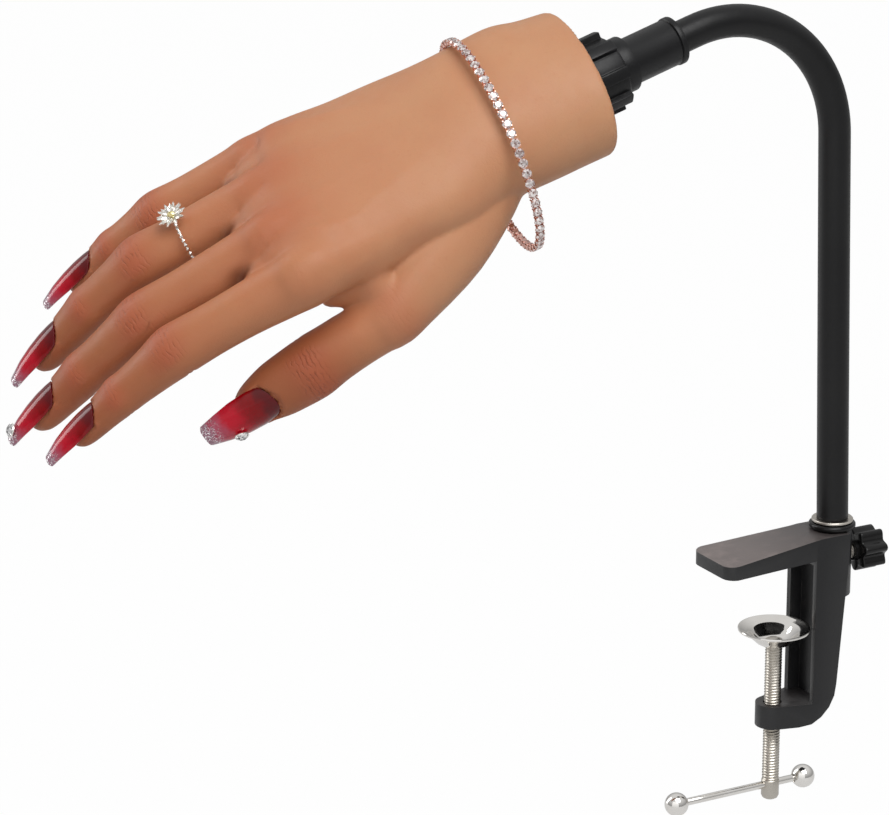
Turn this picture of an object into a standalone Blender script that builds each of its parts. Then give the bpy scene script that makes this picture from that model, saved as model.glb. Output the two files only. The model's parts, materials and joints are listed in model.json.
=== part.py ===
# Nail practice hand: a soft right hand with a jointed armature inside, on a bendable arm
# that stands in a screw clamp. It wears press-on nails, a bracelet and a ring.
# Metres, +Z up. The origin is on the jaw's underside, right above the clamp screw's axis.
# The jaw and the hand point towards -X, the lock knob towards +X, the thumb towards -Y.

import math

import bmesh
import bpy
from mathutils import Matrix, Vector

MM = 0.001

# Clearances
GAP = 0.3 * MM
OVERRUN = 1.0 * MM
ARM_JOINT_GAP = 0.4 * MM
FINGER_JOINT_GAP = 0.5 * MM

# Clamp frame
CLAMP_WIDTH = 17.2 * MM
JAW_REACH = 26.0 * MM
JAW_TIP_WIDTH = 23.2 * MM
JAW_CORNER_RADIUS = 4.2 * MM
JAW_ROOT_THICKNESS = 7.5 * MM
JAW_TIP_THICKNESS = 4.5 * MM
THROAT_DEPTH = 10.5 * MM
THROAT_HEIGHT = 50.5 * MM
SPINE_TOP_DEPTH = 13.0 * MM
SPINE_FOOT_DEPTH = 9.3 * MM
LOWER_ARM_THICKNESS = 8.0 * MM
LOWER_ARM_WALL = 2.6 * MM
CHANNEL_DEPTH = 4.5 * MM
CHANNEL_WALL = 2.0 * MM
SOCKET_DEPTH = 13.0 * MM
SOCKET_WALL = 2.4 * MM

# Clamp screw, cup and T-bar
SCREW_RADIUS = 2.85 * MM
SCREW_NECK_RADIUS = 1.8 * MM
SCREW_RIVET_RADIUS = 3.2 * MM
SCREW_RIVET_HEIGHT = 1.2 * MM
SCREW_THREAD_LENGTH = 47.5 * MM
SCREW_HEAD_RADIUS = 3.0 * MM
SCREW_HEAD_LENGTH = 7.5 * MM
CUP_RADIUS = 12.2 * MM
CUP_HEIGHT = 6.0 * MM
CUP_WALL = 0.9 * MM
CUP_HUB_RADIUS = 4.4 * MM
CUP_DROP = 24.0 * MM
BAR_RADIUS = 1.25 * MM
BAR_LENGTH = 50.0 * MM
BAR_OFFSET = 12.8 * MM
BALL_RADIUS = 4.0 * MM

# Lock screw and knob
LOCK_SCREW_RADIUS = 2.4 * MM
LOCK_PAD_LENGTH = 1.2 * MM
LOCK_SCREW_REACH = 10.6 * MM
LOCK_DROP = 9.6 * MM
KNOB_RADIUS = 7.4 * MM
KNOB_LOBE_HEIGHT = 0.9 * MM
KNOB_LOBES = 7
KNOB_LENGTH = 9.0 * MM
KNOB_STANDOFF = 2.6 * MM
KNOB_COLLAR_RADIUS = 3.6 * MM
KNOB_COLLAR_LENGTH = 1.4 * MM

# Post foot and bendable arm
PIN_RADIUS = 4.0 * MM
FOOT_RING_RADIUS = 7.8 * MM
FOOT_RING_HEIGHT = 2.0 * MM
WASHER_RADIUS = 6.9 * MM
WASHER_THICKNESS = 0.9 * MM
ARM_RADIUS = 5.25 * MM
ARM_STRAIGHT_LENGTH = 131.2 * MM
ARM_BEND_RADIUS = 42.0 * MM
ARM_TAIL_LENGTH = 13.4 * MM
ARM_LEAN = 1.7
ARM_TURN = 105.3
BARREL_INSERTION = 6.0 * MM

# Barrel, collar nut and wrist insert
BARREL_RADIUS = 7.5 * MM
BARREL_LENGTH = 19.0 * MM
BARREL_CAP_LENGTH = 2.2 * MM
BARREL_CAP_LIP = 0.35 * MM
BARREL_RING_RADIUS = 9.0 * MM
BARREL_RING_LENGTH = 4.4 * MM
BARREL_NOSE_LENGTH = 3.4 * MM
NOSE_WALL = 1.8 * MM
NUT_RADIUS = 11.0 * MM
NUT_LENGTH = 11.4 * MM
NUT_TOP_WALL = 2.4 * MM
NUT_RIB_HEIGHT = 2.0 * MM
NUT_RIB_WIDTH = 3.4 * MM
NUT_RIBS = 8
NUT_STANDOFF = 1.0 * MM
INSERT_NECK_RADIUS = 7.4 * MM
INSERT_STUD_RADIUS = 3.0 * MM
INSERT_STUD_LENGTH = 7.0 * MM
INSERT_FLANGE_RADIUS = 16.0 * MM
INSERT_FLANGE_THICKNESS = 5.0 * MM

# Wrist and palm
PALM_LENGTH = 107.6 * MM
WRIST_BREADTH = 52.0 * MM
WRIST_DEPTH = 38.5 * MM
PALM_DEPTH = 29.0 * MM
PALM_EDGE = 3.0 * MM
WRIST_SWELL = 4.4 * MM
WRIST_SWELL_UNDER = 1.3 * MM
HAND_YAW = -6.0
HAND_PITCH = 1.5
HAND_ROLL = -22.5

# Fingers: breadth at the knuckle and the three bones' lengths
INDEX_BREADTH = 17.3 * MM
INDEX_PROXIMAL = 47.0 * MM
INDEX_MIDDLE = 22.6 * MM
INDEX_DISTAL = 21.2 * MM
MIDDLE_BREADTH = 17.6 * MM
MIDDLE_PROXIMAL = 49.0 * MM
MIDDLE_MIDDLE = 26.4 * MM
MIDDLE_DISTAL = 22.6 * MM
RING_BREADTH = 17.2 * MM
RING_PROXIMAL = 42.8 * MM
RING_MIDDLE = 23.4 * MM
RING_DISTAL = 24.4 * MM
LITTLE_BREADTH = 15.6 * MM
LITTLE_PROXIMAL = 36.6 * MM
LITTLE_MIDDLE = 18.8 * MM
LITTLE_DISTAL = 19.8 * MM
THUMB_BREADTH = 20.0 * MM
THUMB_PROXIMAL = 30.8 * MM
THUMB_DISTAL = 27.6 * MM
INDEX_MIDDLE_WEB = 0.85 * MM
MIDDLE_RING_WEB = 2.6 * MM
RING_LITTLE_WEB = 2.2 * MM

# Armature
BONE_RADIUS = 1.7 * MM
EYE_RADIUS = 2.6 * MM
EYE_THICKNESS = 1.6 * MM
CHEEK_THICKNESS = 1.2 * MM
FORK_LENGTH = 4.8 * MM
HINGE_PIN_RADIUS = 0.8 * MM
HUB_LENGTH = 26.0 * MM
HUB_BREADTH = 30.0 * MM
HUB_THICKNESS = 3.0 * MM
STEM_RADIUS = 5.0 * MM

# Nails and rhinestones
NAIL_THICKNESS = 0.9 * MM
NAIL_OVERHANG = 9.5 * MM
NAIL_BED_LENGTH = 13.5 * MM
FINGER_NAIL_ROLL = 12.0
THUMB_NAIL_ROLL = -9.0
STONE_RADIUS = 1.7 * MM
STONE_HEIGHT = 1.6 * MM

# Bracelet and finger ring
BRACELET_LONG_SLACK = 8.8 * MM
BRACELET_SHORT_SLACK = 7.0 * MM
BRACELET_SIDEWAYS = 3.1 * MM
BRACELET_SAG = 4.8 * MM
BRACELET_TURN = -29.6
BRACELET_STONE_RADIUS = 1.65 * MM
BRACELET_LINK_RADIUS = 1.15 * MM
BRACELET_STONES = 60
RING_WIRE_RADIUS = 0.65 * MM
RING_FIT = 0.5 * MM
RING_HEAD_RADIUS = 4.0 * MM
RING_HEAD_WAIST = 2.5 * MM
RING_HEAD_HEIGHT = 2.4 * MM
RING_PETALS = 9

# Facet counts
ARM_SIDES = 16
FINGER_SIDES = 14
PALM_SIDES = 20
TURN_STEPS = 20

FINGERS = {
    "index": {
        "breadth": INDEX_BREADTH, "lengths": (INDEX_PROXIMAL, INDEX_MIDDLE, INDEX_DISTAL),
        "along_share": 0.99, "lift_share": -0.03, "spread": -11.4, "bends": (18.8, 15.3, 3.8)},
    "middle": {
        "breadth": MIDDLE_BREADTH, "lengths": (MIDDLE_PROXIMAL, MIDDLE_MIDDLE, MIDDLE_DISTAL),
        "along_share": 1.0, "lift_share": -0.02, "spread": -13.1, "bends": (21.5, 14.8, 4.6)},
    "ring": {
        "breadth": RING_BREADTH, "lengths": (RING_PROXIMAL, RING_MIDDLE, RING_DISTAL),
        "along_share": 0.954, "lift_share": -0.055, "spread": -12.1, "bends": (16.2, 18.4, 7.8)},
    "little": {
        "breadth": LITTLE_BREADTH, "lengths": (LITTLE_PROXIMAL, LITTLE_MIDDLE, LITTLE_DISTAL),
        "along_share": 0.892, "lift_share": -0.17, "spread": -17.1, "bends": (21.0, 12.5, 5.4)},
}
THUMB = {
    "breadth": THUMB_BREADTH, "lengths": (THUMB_PROXIMAL, THUMB_DISTAL),
    "along_share": 0.784, "across_share": 1.262, "lift_share": -0.748,
    "turn": (11.4, 13.5, -64.0), "bends": (15.8, 8.6)}

# Half breadth and half depth of a finger at its three joints and near its tip,
# as shares of its breadth at the knuckle
finger_breadth_shares = (0.5, 0.515, 0.455, 0.325)
finger_depth_shares = (0.57, 0.455, 0.385, 0.275)
thumb_breadth_shares = (0.52, 0.48, 0.345)
thumb_depth_shares = (0.48, 0.41, 0.265)
finger_reliefs = (52.0, 57.0, 42.0)
thumb_reliefs = (42.0, 50.0)


# Shared helpers


def new_collection(name):
    collection = bpy.data.collections.new(name)
    bpy.context.scene.collection.children.link(collection)
    return collection


def clear_scene():
    for item in list(bpy.data.objects):
        bpy.data.objects.remove(item, do_unlink=True)


def add_mesh(name, mesh, pivot=None):
    item = bpy.data.objects.new(name, mesh)
    PARTS.objects.link(item)
    item.parent = pivot
    return item


def from_bmesh(name, bm, pivot=None):
    bmesh.ops.recalc_face_normals(bm, faces=bm.faces)
    mesh = bpy.data.meshes.new(name)
    bm.to_mesh(mesh)
    bm.free()
    return add_mesh(name, mesh, pivot)


def add_pivot(name, parent, local):
    pivot = bpy.data.objects.new(name, None)
    pivot.empty_display_size = ARM_RADIUS
    PIVOTS.objects.link(pivot)
    pivot.parent = parent
    pivot.matrix_local = local
    return pivot


def bake(item):
    bpy.context.view_layer.update()
    graph = bpy.context.evaluated_depsgraph_get()
    mesh = bpy.data.meshes.new_from_object(item.evaluated_get(graph))
    if item.type == "CURVE":
        baked = add_mesh(item.name, mesh, item.parent)
        baked.matrix_local = item.matrix_local
        name = item.name
        bpy.data.objects.remove(item, do_unlink=True)
        baked.name = name
        bm = bmesh.new()
        bm.from_mesh(mesh)
        bmesh.ops.remove_doubles(bm, verts=bm.verts, dist=GAP / 30)
        bm.to_mesh(mesh)
        bm.free()
        return baked
    item.modifiers.clear()
    item.data = mesh
    return item


def combine(item, tools, operation):
    for tool in tools:
        modifier = item.modifiers.new(operation, "BOOLEAN")
        modifier.operation = operation
        modifier.object = tool
        modifier.solver = "EXACT"
        bake(item)
        bpy.data.objects.remove(tool, do_unlink=True)
    return item


def cut(item, *tools):
    return combine(item, tools, "DIFFERENCE")


def join(item, *tools):
    return combine(item, tools, "UNION")


def box(name, low, high, pivot=None):
    bm = bmesh.new()
    bmesh.ops.create_cube(bm, size=1)
    size = Vector(high) - Vector(low)
    centre = (Vector(high) + Vector(low)) / 2
    bmesh.ops.transform(bm, verts=bm.verts, matrix=Matrix.Translation(centre) @ Matrix.Diagonal((*size, 1)))
    return from_bmesh(name, bm, pivot)


def rod(name, start, end, radius, sides=TURN_STEPS, pivot=None):
    start, end = Vector(start), Vector(end)
    along = end - start
    bm = bmesh.new()
    bmesh.ops.create_cone(
        bm, cap_ends=True, segments=sides, radius1=radius, radius2=radius, depth=along.length)
    place = Matrix.Translation((start + end) / 2) @ along.to_track_quat("Z", "Y").to_matrix().to_4x4()
    bmesh.ops.transform(bm, verts=bm.verts, matrix=place)
    return from_bmesh(name, bm, pivot)


def plate(name, outline, low, high, pivot=None, local=None):
    # A flat outline in X and Y, from the height low to the height high
    curve = bpy.data.curves.new(name, "CURVE")
    curve.dimensions = "2D"
    curve.fill_mode = "BOTH"
    curve.extrude = (high - low) / 2
    spline = curve.splines.new("POLY")
    spline.points.add(len(outline) - 1)
    for point, (x, y) in zip(spline.points, outline):
        point.co = (x, y, 0, 1)
    spline.use_cyclic_u = True
    item = bpy.data.objects.new(name, curve)
    PARTS.objects.link(item)
    item.parent = pivot
    item.matrix_local = (local or Matrix()) @ Matrix.Translation((0, 0, (low + high) / 2))
    return bake(item)


def turned(name, profile, pivot=None, local=None, closed=False, steps=TURN_STEPS):
    # A profile of (radius, height) points, top to bottom on its outer side
    bm = bmesh.new()
    points = [bm.verts.new((radius, 0, height)) for radius, height in profile]
    for first, second in zip(points, points[1:]):
        bm.edges.new((first, second))
    if closed:
        bm.edges.new((points[-1], points[0]))
    mesh = bpy.data.meshes.new(name)
    bm.to_mesh(mesh)
    bm.free()
    item = add_mesh(name, mesh, pivot)
    item.matrix_local = local or Matrix()
    screw = item.modifiers.new("Turn", "SCREW")
    screw.steps = steps
    screw.render_steps = steps
    screw.use_merge_vertices = True
    screw.merge_threshold = GAP / 30
    screw.use_normal_calculate = True
    bake(item)
    bm = bmesh.new()
    bm.from_mesh(item.data)
    bmesh.ops.recalc_face_normals(bm, faces=bm.faces)
    bm.to_mesh(item.data)
    bm.free()
    return item


def loft(name, rings, first=None, last=None, pivot=None, loop=False):
    # Rings of points joined by faces, closed by a pole at each end or joined into a loop
    bm = bmesh.new()
    rows = [[bm.verts.new(point) for point in ring] for ring in rings]
    sides = len(rows[0])
    pairs = list(zip(rows, rows[1:]))
    if loop:
        pairs.append((rows[-1], rows[0]))
    for low, high in pairs:
        for side in range(sides):
            after = (side + 1) % sides
            bm.faces.new((low[side], low[after], high[after], high[side]))
    for row, pole in ((rows[0], first), (rows[-1], last)):
        if pole is not None:
            tip = bm.verts.new(pole)
            for side in range(sides):
                bm.faces.new((row[side], row[(side + 1) % sides], tip))
    return from_bmesh(name, bm, pivot)


def oval(half_breadth, half_depth, sides):
    turns = [2 * math.pi * side / sides for side in range(sides)]
    return [(half_breadth * math.cos(turn), half_depth * math.sin(turn)) for turn in turns]


def mix(low, high, share):
    return low + (high - low) * share


def turn_z(angle):
    return Matrix.Rotation(math.radians(angle), 4, "Z")


def turn_y(angle):
    return Matrix.Rotation(math.radians(angle), 4, "Y")


def turn_x(angle):
    return Matrix.Rotation(math.radians(angle), 4, "X")


def move(x=0.0, y=0.0, z=0.0):
    return Matrix.Translation((x, y, z))


def arc(centre, radius, start, end, count):
    angles = [math.radians(mix(start, end, step / count)) for step in range(count + 1)]
    return [(centre[0] + radius * math.cos(a), centre[1] + radius * math.sin(a)) for a in angles]


def paint(item, name, colour, roughness, metallic=0.0):
    material = bpy.data.materials.new(name)
    material.use_nodes = True
    shader = material.node_tree.nodes["Principled BSDF"]
    shader.inputs["Base Color"].default_value = (*colour, 1)
    shader.inputs["Roughness"].default_value = roughness
    shader.inputs["Metallic"].default_value = metallic
    item.data.materials.clear()
    item.data.materials.append(material)
    return item


def smooth(item):
    item.data.shade_smooth()
    item.data.set_sharp_from_angle(angle=math.radians(40))
    return item


BLACK_PAINT = (0.02, 0.02, 0.022)
BLACK_PLASTIC = (0.025, 0.025, 0.027)
BRIGHT_METAL = (0.78, 0.76, 0.73)
SKIN = (0.60, 0.36, 0.22)
NAIL_RED = (0.42, 0.02, 0.05)
ROSE_GOLD = (0.80, 0.50, 0.40)
SILVER = (0.82, 0.80, 0.76)
STONE = (0.88, 0.88, 0.90)
BONE_STEEL = (0.55, 0.55, 0.56)


# The clamp


def clamp_places():
    places = {}
    places["spine_back"] = THROAT_DEPTH + SPINE_TOP_DEPTH
    places["spine_foot"] = THROAT_DEPTH + SPINE_FOOT_DEPTH
    places["post_x"] = places["spine_back"] - SPINE_TOP_DEPTH * 0.115
    places["arm_top"] = -THROAT_HEIGHT
    places["arm_bottom"] = -THROAT_HEIGHT - LOWER_ARM_THICKNESS
    places["screw_hole"] = SCREW_RADIUS + GAP
    places["arm_tip_radius"] = places["screw_hole"] + LOWER_ARM_WALL
    places["socket_radius"] = PIN_RADIUS + GAP
    places["boss_radius"] = places["socket_radius"] + SOCKET_WALL
    places["lock_z"] = -(LOCK_DROP - JAW_ROOT_THICKNESS)
    return places


def make_clamp_frame(places):
    half = CLAMP_WIDTH / 2
    flare = JAW_TIP_WIDTH / 2
    tip = -JAW_REACH
    corner = min(JAW_CORNER_RADIUS, flare * 0.8, JAW_REACH * 0.8)
    near = arc((tip + corner, -flare + corner), corner, 180, 262, 4)
    far = [(x, -y) for x, y in reversed(near)]
    jaw_outline = [(places["spine_back"], half), (THROAT_DEPTH, half), *far, *near]
    jaw_outline += [(THROAT_DEPTH, -half), (places["spine_back"], -half)]
    jaw_outline.reverse()
    jaw = plate("clamp_frame", jaw_outline, 0, JAW_ROOT_THICKNESS)
    slope_start = THROAT_DEPTH + SPINE_TOP_DEPTH * 0.25
    drop = JAW_ROOT_THICKNESS - JAW_TIP_THICKNESS
    run = slope_start + JAW_REACH
    over = OVERRUN * 2
    slope_outline = [
        (slope_start, JAW_ROOT_THICKNESS), (slope_start, JAW_ROOT_THICKNESS + over),
        (tip - over, JAW_ROOT_THICKNESS + over),
        (tip - over, JAW_ROOT_THICKNESS - drop * (run + over) / run)]
    upright = turn_x(90)
    slope = plate("slope", slope_outline, -flare - over, flare + over, local=upright)
    cut(jaw, slope)

    arm_tip = -places["arm_tip_radius"]
    depth = places["spine_foot"]
    bend_x = depth * 0.3
    bend_z = LOWER_ARM_THICKNESS * 1.7
    knee = [
        (bend_x + (depth - bend_x) * math.sin(math.radians(step * 18)),
         places["arm_bottom"] + bend_z * (1 - math.cos(math.radians(step * 18))))
        for step in range(6)]
    side_outline = [
        (THROAT_DEPTH, JAW_ROOT_THICKNESS / 2), (THROAT_DEPTH, places["arm_top"]),
        (arm_tip, places["arm_top"]), (arm_tip, places["arm_bottom"]), (0, places["arm_bottom"]),
        *knee, (places["spine_back"], 0), (places["spine_back"], JAW_ROOT_THICKNESS / 2)]
    spine = plate("spine", side_outline, -half, half, local=upright)
    tip_arc = arc((0, 0), places["arm_tip_radius"], 104, 256, 10)
    over_x = places["spine_back"] + OVERRUN
    plan = [(over_x, half + OVERRUN), (THROAT_DEPTH, half + OVERRUN), (THROAT_DEPTH, half), *tip_arc]
    plan += [(THROAT_DEPTH, -half), (THROAT_DEPTH, -half - OVERRUN), (over_x, -half - OVERRUN)]
    plan_solid = plate("plan", plan, places["arm_bottom"] - OVERRUN, JAW_ROOT_THICKNESS)
    combine(spine, [plan_solid], "INTERSECT")
    join(jaw, spine)

    post = places["post_x"]
    boss_foot = -SOCKET_DEPTH - SOCKET_WALL
    boss = rod("boss", (post, 0, JAW_ROOT_THICKNESS), (post, 0, boss_foot), places["boss_radius"])
    join(jaw, boss)
    channel = box(
        "channel", (THROAT_DEPTH - OVERRUN, -half + CHANNEL_WALL, places["arm_top"]),
        (THROAT_DEPTH + CHANNEL_DEPTH, half - CHANNEL_WALL, -CHANNEL_WALL))
    socket = rod(
        "socket", (post, 0, JAW_ROOT_THICKNESS + OVERRUN), (post, 0, -SOCKET_DEPTH),
        places["socket_radius"])
    screw_hole = rod(
        "screw_hole", (0, 0, places["arm_top"] + OVERRUN), (0, 0, places["arm_bottom"] - OVERRUN),
        places["screw_hole"])
    lock_hole = rod(
        "lock_hole", (post, 0, places["lock_z"]),
        (post + places["boss_radius"] + OVERRUN, 0, places["lock_z"]), LOCK_SCREW_RADIUS + GAP, 16)
    cut(jaw, channel, socket, screw_hole, lock_hole)
    paint(jaw, "Clamp paint", BLACK_PAINT, 0.45)


def make_clamp_screw():
    travel = add_pivot("clamp_travel", None, move(z=-CUP_DROP))
    spin = add_pivot("clamp_turn", travel, Matrix())
    floor = -CUP_HEIGHT + CUP_WALL
    hole = SCREW_NECK_RADIUS + GAP
    cup_profile = [
        (CUP_RADIUS - CUP_WALL * 0.5, 0), (CUP_RADIUS, -CUP_WALL * 0.4), (CUP_RADIUS, -CUP_WALL),
        (mix(CUP_HUB_RADIUS, CUP_RADIUS, 0.55), -CUP_HEIGHT * 0.5),
        (CUP_HUB_RADIUS, -CUP_HEIGHT * 0.93), (CUP_HUB_RADIUS * 0.85, -CUP_HEIGHT),
        (hole, -CUP_HEIGHT), (hole, floor), (CUP_HUB_RADIUS * 0.9, floor),
        (mix(CUP_HUB_RADIUS, CUP_RADIUS, 0.5), -CUP_HEIGHT * 0.5 + CUP_WALL * 0.7)]
    cup = turned("pressure_cup", cup_profile, travel, closed=True, steps=24)
    paint(smooth(cup), "Cup chrome", BRIGHT_METAL, 0.12, 1.0)

    shoulder = -CUP_HEIGHT - GAP
    thread_end = shoulder - SCREW_THREAD_LENGTH
    foot = thread_end - SCREW_HEAD_LENGTH
    rivet = floor + GAP
    screw_profile = [
        (0, rivet + SCREW_RIVET_HEIGHT), (SCREW_RIVET_RADIUS * 0.7, rivet + SCREW_RIVET_HEIGHT * 0.8),
        (SCREW_RIVET_RADIUS, rivet + SCREW_RIVET_HEIGHT * 0.3), (SCREW_RIVET_RADIUS, rivet),
        (SCREW_NECK_RADIUS, rivet), (SCREW_NECK_RADIUS, shoulder), (SCREW_RADIUS, shoulder),
        (SCREW_RADIUS, thread_end), (SCREW_HEAD_RADIUS, thread_end - OVERRUN / 4),
        (SCREW_HEAD_RADIUS, foot + SCREW_HEAD_RADIUS * 0.4), (SCREW_HEAD_RADIUS * 0.6, foot), (0, foot)]
    screw = turned("clamp_screw", screw_profile, spin, steps=20)
    bar_z = foot + SCREW_HEAD_LENGTH * 0.7
    reach = SCREW_HEAD_RADIUS + OVERRUN
    cut(screw, rod("cross_hole", (-reach, 0, bar_z), (reach, 0, bar_z), BAR_RADIUS + GAP, 12, spin))
    paint(smooth(screw), "Screw steel", BRIGHT_METAL, 0.25, 1.0)

    slide = add_pivot("bar_slide", spin, move(z=bar_z))
    left = BAR_OFFSET - BAR_LENGTH
    bar = rod(
        "t_bar", (left + BALL_RADIUS * 0.5, 0, 0), (BAR_OFFSET - BALL_RADIUS * 0.5, 0, 0), BAR_RADIUS,
        10, slide)
    paint(smooth(bar), "Bar chrome", BRIGHT_METAL, 0.12, 1.0)
    for name, x, side in (("t_bar_ball_left", left, 1), ("t_bar_ball_right", BAR_OFFSET, -1)):
        bm = bmesh.new()
        bmesh.ops.create_uvsphere(bm, u_segments=12, v_segments=8, radius=BALL_RADIUS)
        bmesh.ops.transform(bm, verts=bm.verts, matrix=move(x) @ turn_y(90))
        ball = from_bmesh(name, bm, slide)
        deep = x + side * (BALL_RADIUS * 0.5 - GAP)
        mouth = x + side * (BALL_RADIUS + OVERRUN)
        cut(ball, rod("ball_hole", (deep, 0, 0), (mouth, 0, 0), BAR_RADIUS + GAP, 10, slide))
        paint(smooth(ball), "Ball chrome", BRIGHT_METAL, 0.08, 1.0)


def make_lock(places):
    pin_face = places["post_x"] + PIN_RADIUS + GAP
    travel = add_pivot("lock_travel", None, move(pin_face, 0, places["lock_z"]))
    spin = add_pivot("lock_turn", travel, Matrix())
    pad = rod("lock_pad", (0, 0, 0), (LOCK_PAD_LENGTH, 0, 0), LOCK_SCREW_RADIUS * 0.85, 16, travel)
    paint(smooth(pad), "Pad brass", (0.70, 0.55, 0.28), 0.35, 1.0)
    start = LOCK_PAD_LENGTH + GAP
    end = start + LOCK_SCREW_REACH
    screw = rod("lock_screw", (start, 0, 0), (end, 0, 0), LOCK_SCREW_RADIUS, 16, spin)
    paint(smooth(screw), "Lock steel", BRIGHT_METAL, 0.25, 1.0)
    back = places["boss_radius"] - PIN_RADIUS - GAP
    face = back + KNOB_STANDOFF
    count = KNOB_LOBES * 6
    outline = []
    for step in range(count):
        turn = 2 * math.pi * step / count
        radius = KNOB_RADIUS - KNOB_LOBE_HEIGHT * (1 - math.cos(KNOB_LOBES * turn))
        outline.append((radius * math.cos(turn), radius * math.sin(turn)))
    knob = plate("lock_knob", outline, face, face + KNOB_LENGTH, spin, turn_y(90))
    collar = rod("collar", (face - KNOB_COLLAR_LENGTH, 0, 0), (face + OVERRUN, 0, 0), KNOB_COLLAR_RADIUS,
                 TURN_STEPS, spin)
    join(knob, collar)
    cut(knob, rod("knob_bore", (face - KNOB_COLLAR_LENGTH - OVERRUN, 0, 0), (end + GAP, 0, 0),
                  LOCK_SCREW_RADIUS + GAP, 16, spin))
    paint(smooth(knob), "Knob plastic", BLACK_PLASTIC, 0.3)


# The arm


def arm_place(distance):
    # The frame at a distance along the arm's centre line, +Z towards the hand
    foot = move(clamp_places()["post_x"], 0, arm_start_height()) @ turn_y(-ARM_LEAN)
    bend = ARM_BEND_RADIUS * math.radians(ARM_TURN)
    if distance <= ARM_STRAIGHT_LENGTH:
        return foot @ move(z=distance)
    past = min(distance - ARM_STRAIGHT_LENGTH, bend)
    angle = math.degrees(past / ARM_BEND_RADIUS)
    turned_place = move(-ARM_BEND_RADIUS) @ turn_y(-angle) @ move(ARM_BEND_RADIUS)
    rest = distance - ARM_STRAIGHT_LENGTH - past
    return foot @ move(z=ARM_STRAIGHT_LENGTH) @ turned_place @ move(z=rest)


def arm_start_height():
    return JAW_ROOT_THICKNESS + GAP + FOOT_RING_HEIGHT + GAP + WASHER_THICKNESS + GAP


def arm_length():
    return ARM_STRAIGHT_LENGTH + ARM_BEND_RADIUS * math.radians(ARM_TURN) + ARM_TAIL_LENGTH


def make_post(places):
    post = places["post_x"]
    pivot = add_pivot("post_swivel", None, move(post, 0, JAW_ROOT_THICKNESS))
    bottom = -(JAW_ROOT_THICKNESS + SOCKET_DEPTH - GAP)
    rim = FOOT_RING_HEIGHT * 0.25
    top = GAP + FOOT_RING_HEIGHT
    foot_profile = [
        (0, top), (FOOT_RING_RADIUS - rim, top), (FOOT_RING_RADIUS, top - rim),
        (FOOT_RING_RADIUS, GAP + rim), (FOOT_RING_RADIUS - rim, GAP), (PIN_RADIUS, GAP),
        (PIN_RADIUS, bottom), (0, bottom)]
    foot = turned("post_foot", foot_profile, pivot)
    paint(smooth(foot), "Foot plastic", BLACK_PLASTIC, 0.35)
    low = top + GAP
    washer = turned("foot_washer", [
        (0, low + WASHER_THICKNESS), (WASHER_RADIUS, low + WASHER_THICKNESS), (WASHER_RADIUS, low), (0, low)],
        pivot)
    paint(smooth(washer), "Washer steel", BRIGHT_METAL, 0.2, 1.0)
    return pivot


def arm_link(name, start, end, first, last, pivot, away):
    # A stretch of the arm: dished where it turns on a ball, a ball where the next one turns
    rings = []
    section = oval(ARM_RADIUS, ARM_RADIUS, ARM_SIDES)
    reach = ARM_RADIUS + ARM_JOINT_GAP
    place = away @ arm_place(start)
    pole = place @ Vector((0, 0, 0))
    if not first:
        pole = place @ Vector((0, 0, reach))
        for tilt in (22.5, 45, 67.5):
            share = math.sin(math.radians(tilt))
            height = math.sqrt(reach ** 2 - (ARM_RADIUS * share) ** 2)
            rings.append([place @ Vector((x * share, y * share, height)) for x, y in section])
        start += math.sqrt(reach ** 2 - ARM_RADIUS ** 2)
    span = end - start
    bend = ARM_BEND_RADIUS * math.radians(ARM_TURN)
    straight = end <= ARM_STRAIGHT_LENGTH or start >= ARM_STRAIGHT_LENGTH + bend
    steps = 1 if straight else max(2, round(span / ARM_RADIUS))
    for step in range(steps + 1):
        place = away @ arm_place(start + span * step / steps)
        rings.append([place @ Vector((x, y, 0)) for x, y in section])
    place = away @ arm_place(end)
    if last:
        tip = place @ Vector((0, 0, 0))
    else:
        tip = place @ Vector((0, 0, ARM_RADIUS))
        for tilt in (22.5, 45, 67.5):
            share = math.cos(math.radians(tilt))
            height = ARM_RADIUS * math.sin(math.radians(tilt))
            rings.append([place @ Vector((x * share, y * share, height)) for x, y in section])
    link = loft(name, rings, pole, tip, pivot)
    return paint(smooth(link), "Arm sleeve", BLACK_PLASTIC, 0.5)


# Where the arm bends, as shares of its straight length or of its bend, and how it bends there
straight_pivot_shares = (0.27, 0.54, 0.81)
bend_pivot_shares = (0.24, 0.72)


def arm_pivots():
    bend = ARM_BEND_RADIUS * math.radians(ARM_TURN)
    pivots = [share * ARM_STRAIGHT_LENGTH for share in straight_pivot_shares]
    return pivots + [ARM_STRAIGHT_LENGTH + share * bend for share in bend_pivot_shares]


def make_arm(post):
    stops = [0.0, *arm_pivots(), arm_length()]
    parent, parent_place = post, post.matrix_local.copy()
    for index in range(len(stops) - 1):
        if index:
            place = arm_place(stops[index])
            parent = add_pivot("arm_bend_%d" % index, parent, parent_place.inverted() @ place)
            parent_place = place
        away = parent_place.inverted()
        last = index == len(stops) - 2
        arm_link("arm_link_%d" % (index + 1), stops[index], stops[index + 1], index == 0, last, parent, away)
    return parent, parent_place


# The connector: +Z runs from the arm towards the hand, zero at the arm's end


def connector_places():
    places = {}
    places["barrel_back"] = -BARREL_INSERTION
    places["socket"] = GAP
    places["ring_start"] = places["barrel_back"] + BARREL_LENGTH
    places["ring_end"] = places["ring_start"] + BARREL_RING_LENGTH
    places["nose_end"] = places["ring_end"] + BARREL_NOSE_LENGTH
    places["nut_start"] = places["ring_end"] + GAP
    places["nut_end"] = places["nut_start"] + NUT_LENGTH
    places["wrist"] = places["nut_end"] + NUT_STANDOFF
    places["nose_radius"] = INSERT_STUD_RADIUS + GAP + NOSE_WALL
    return places


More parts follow.
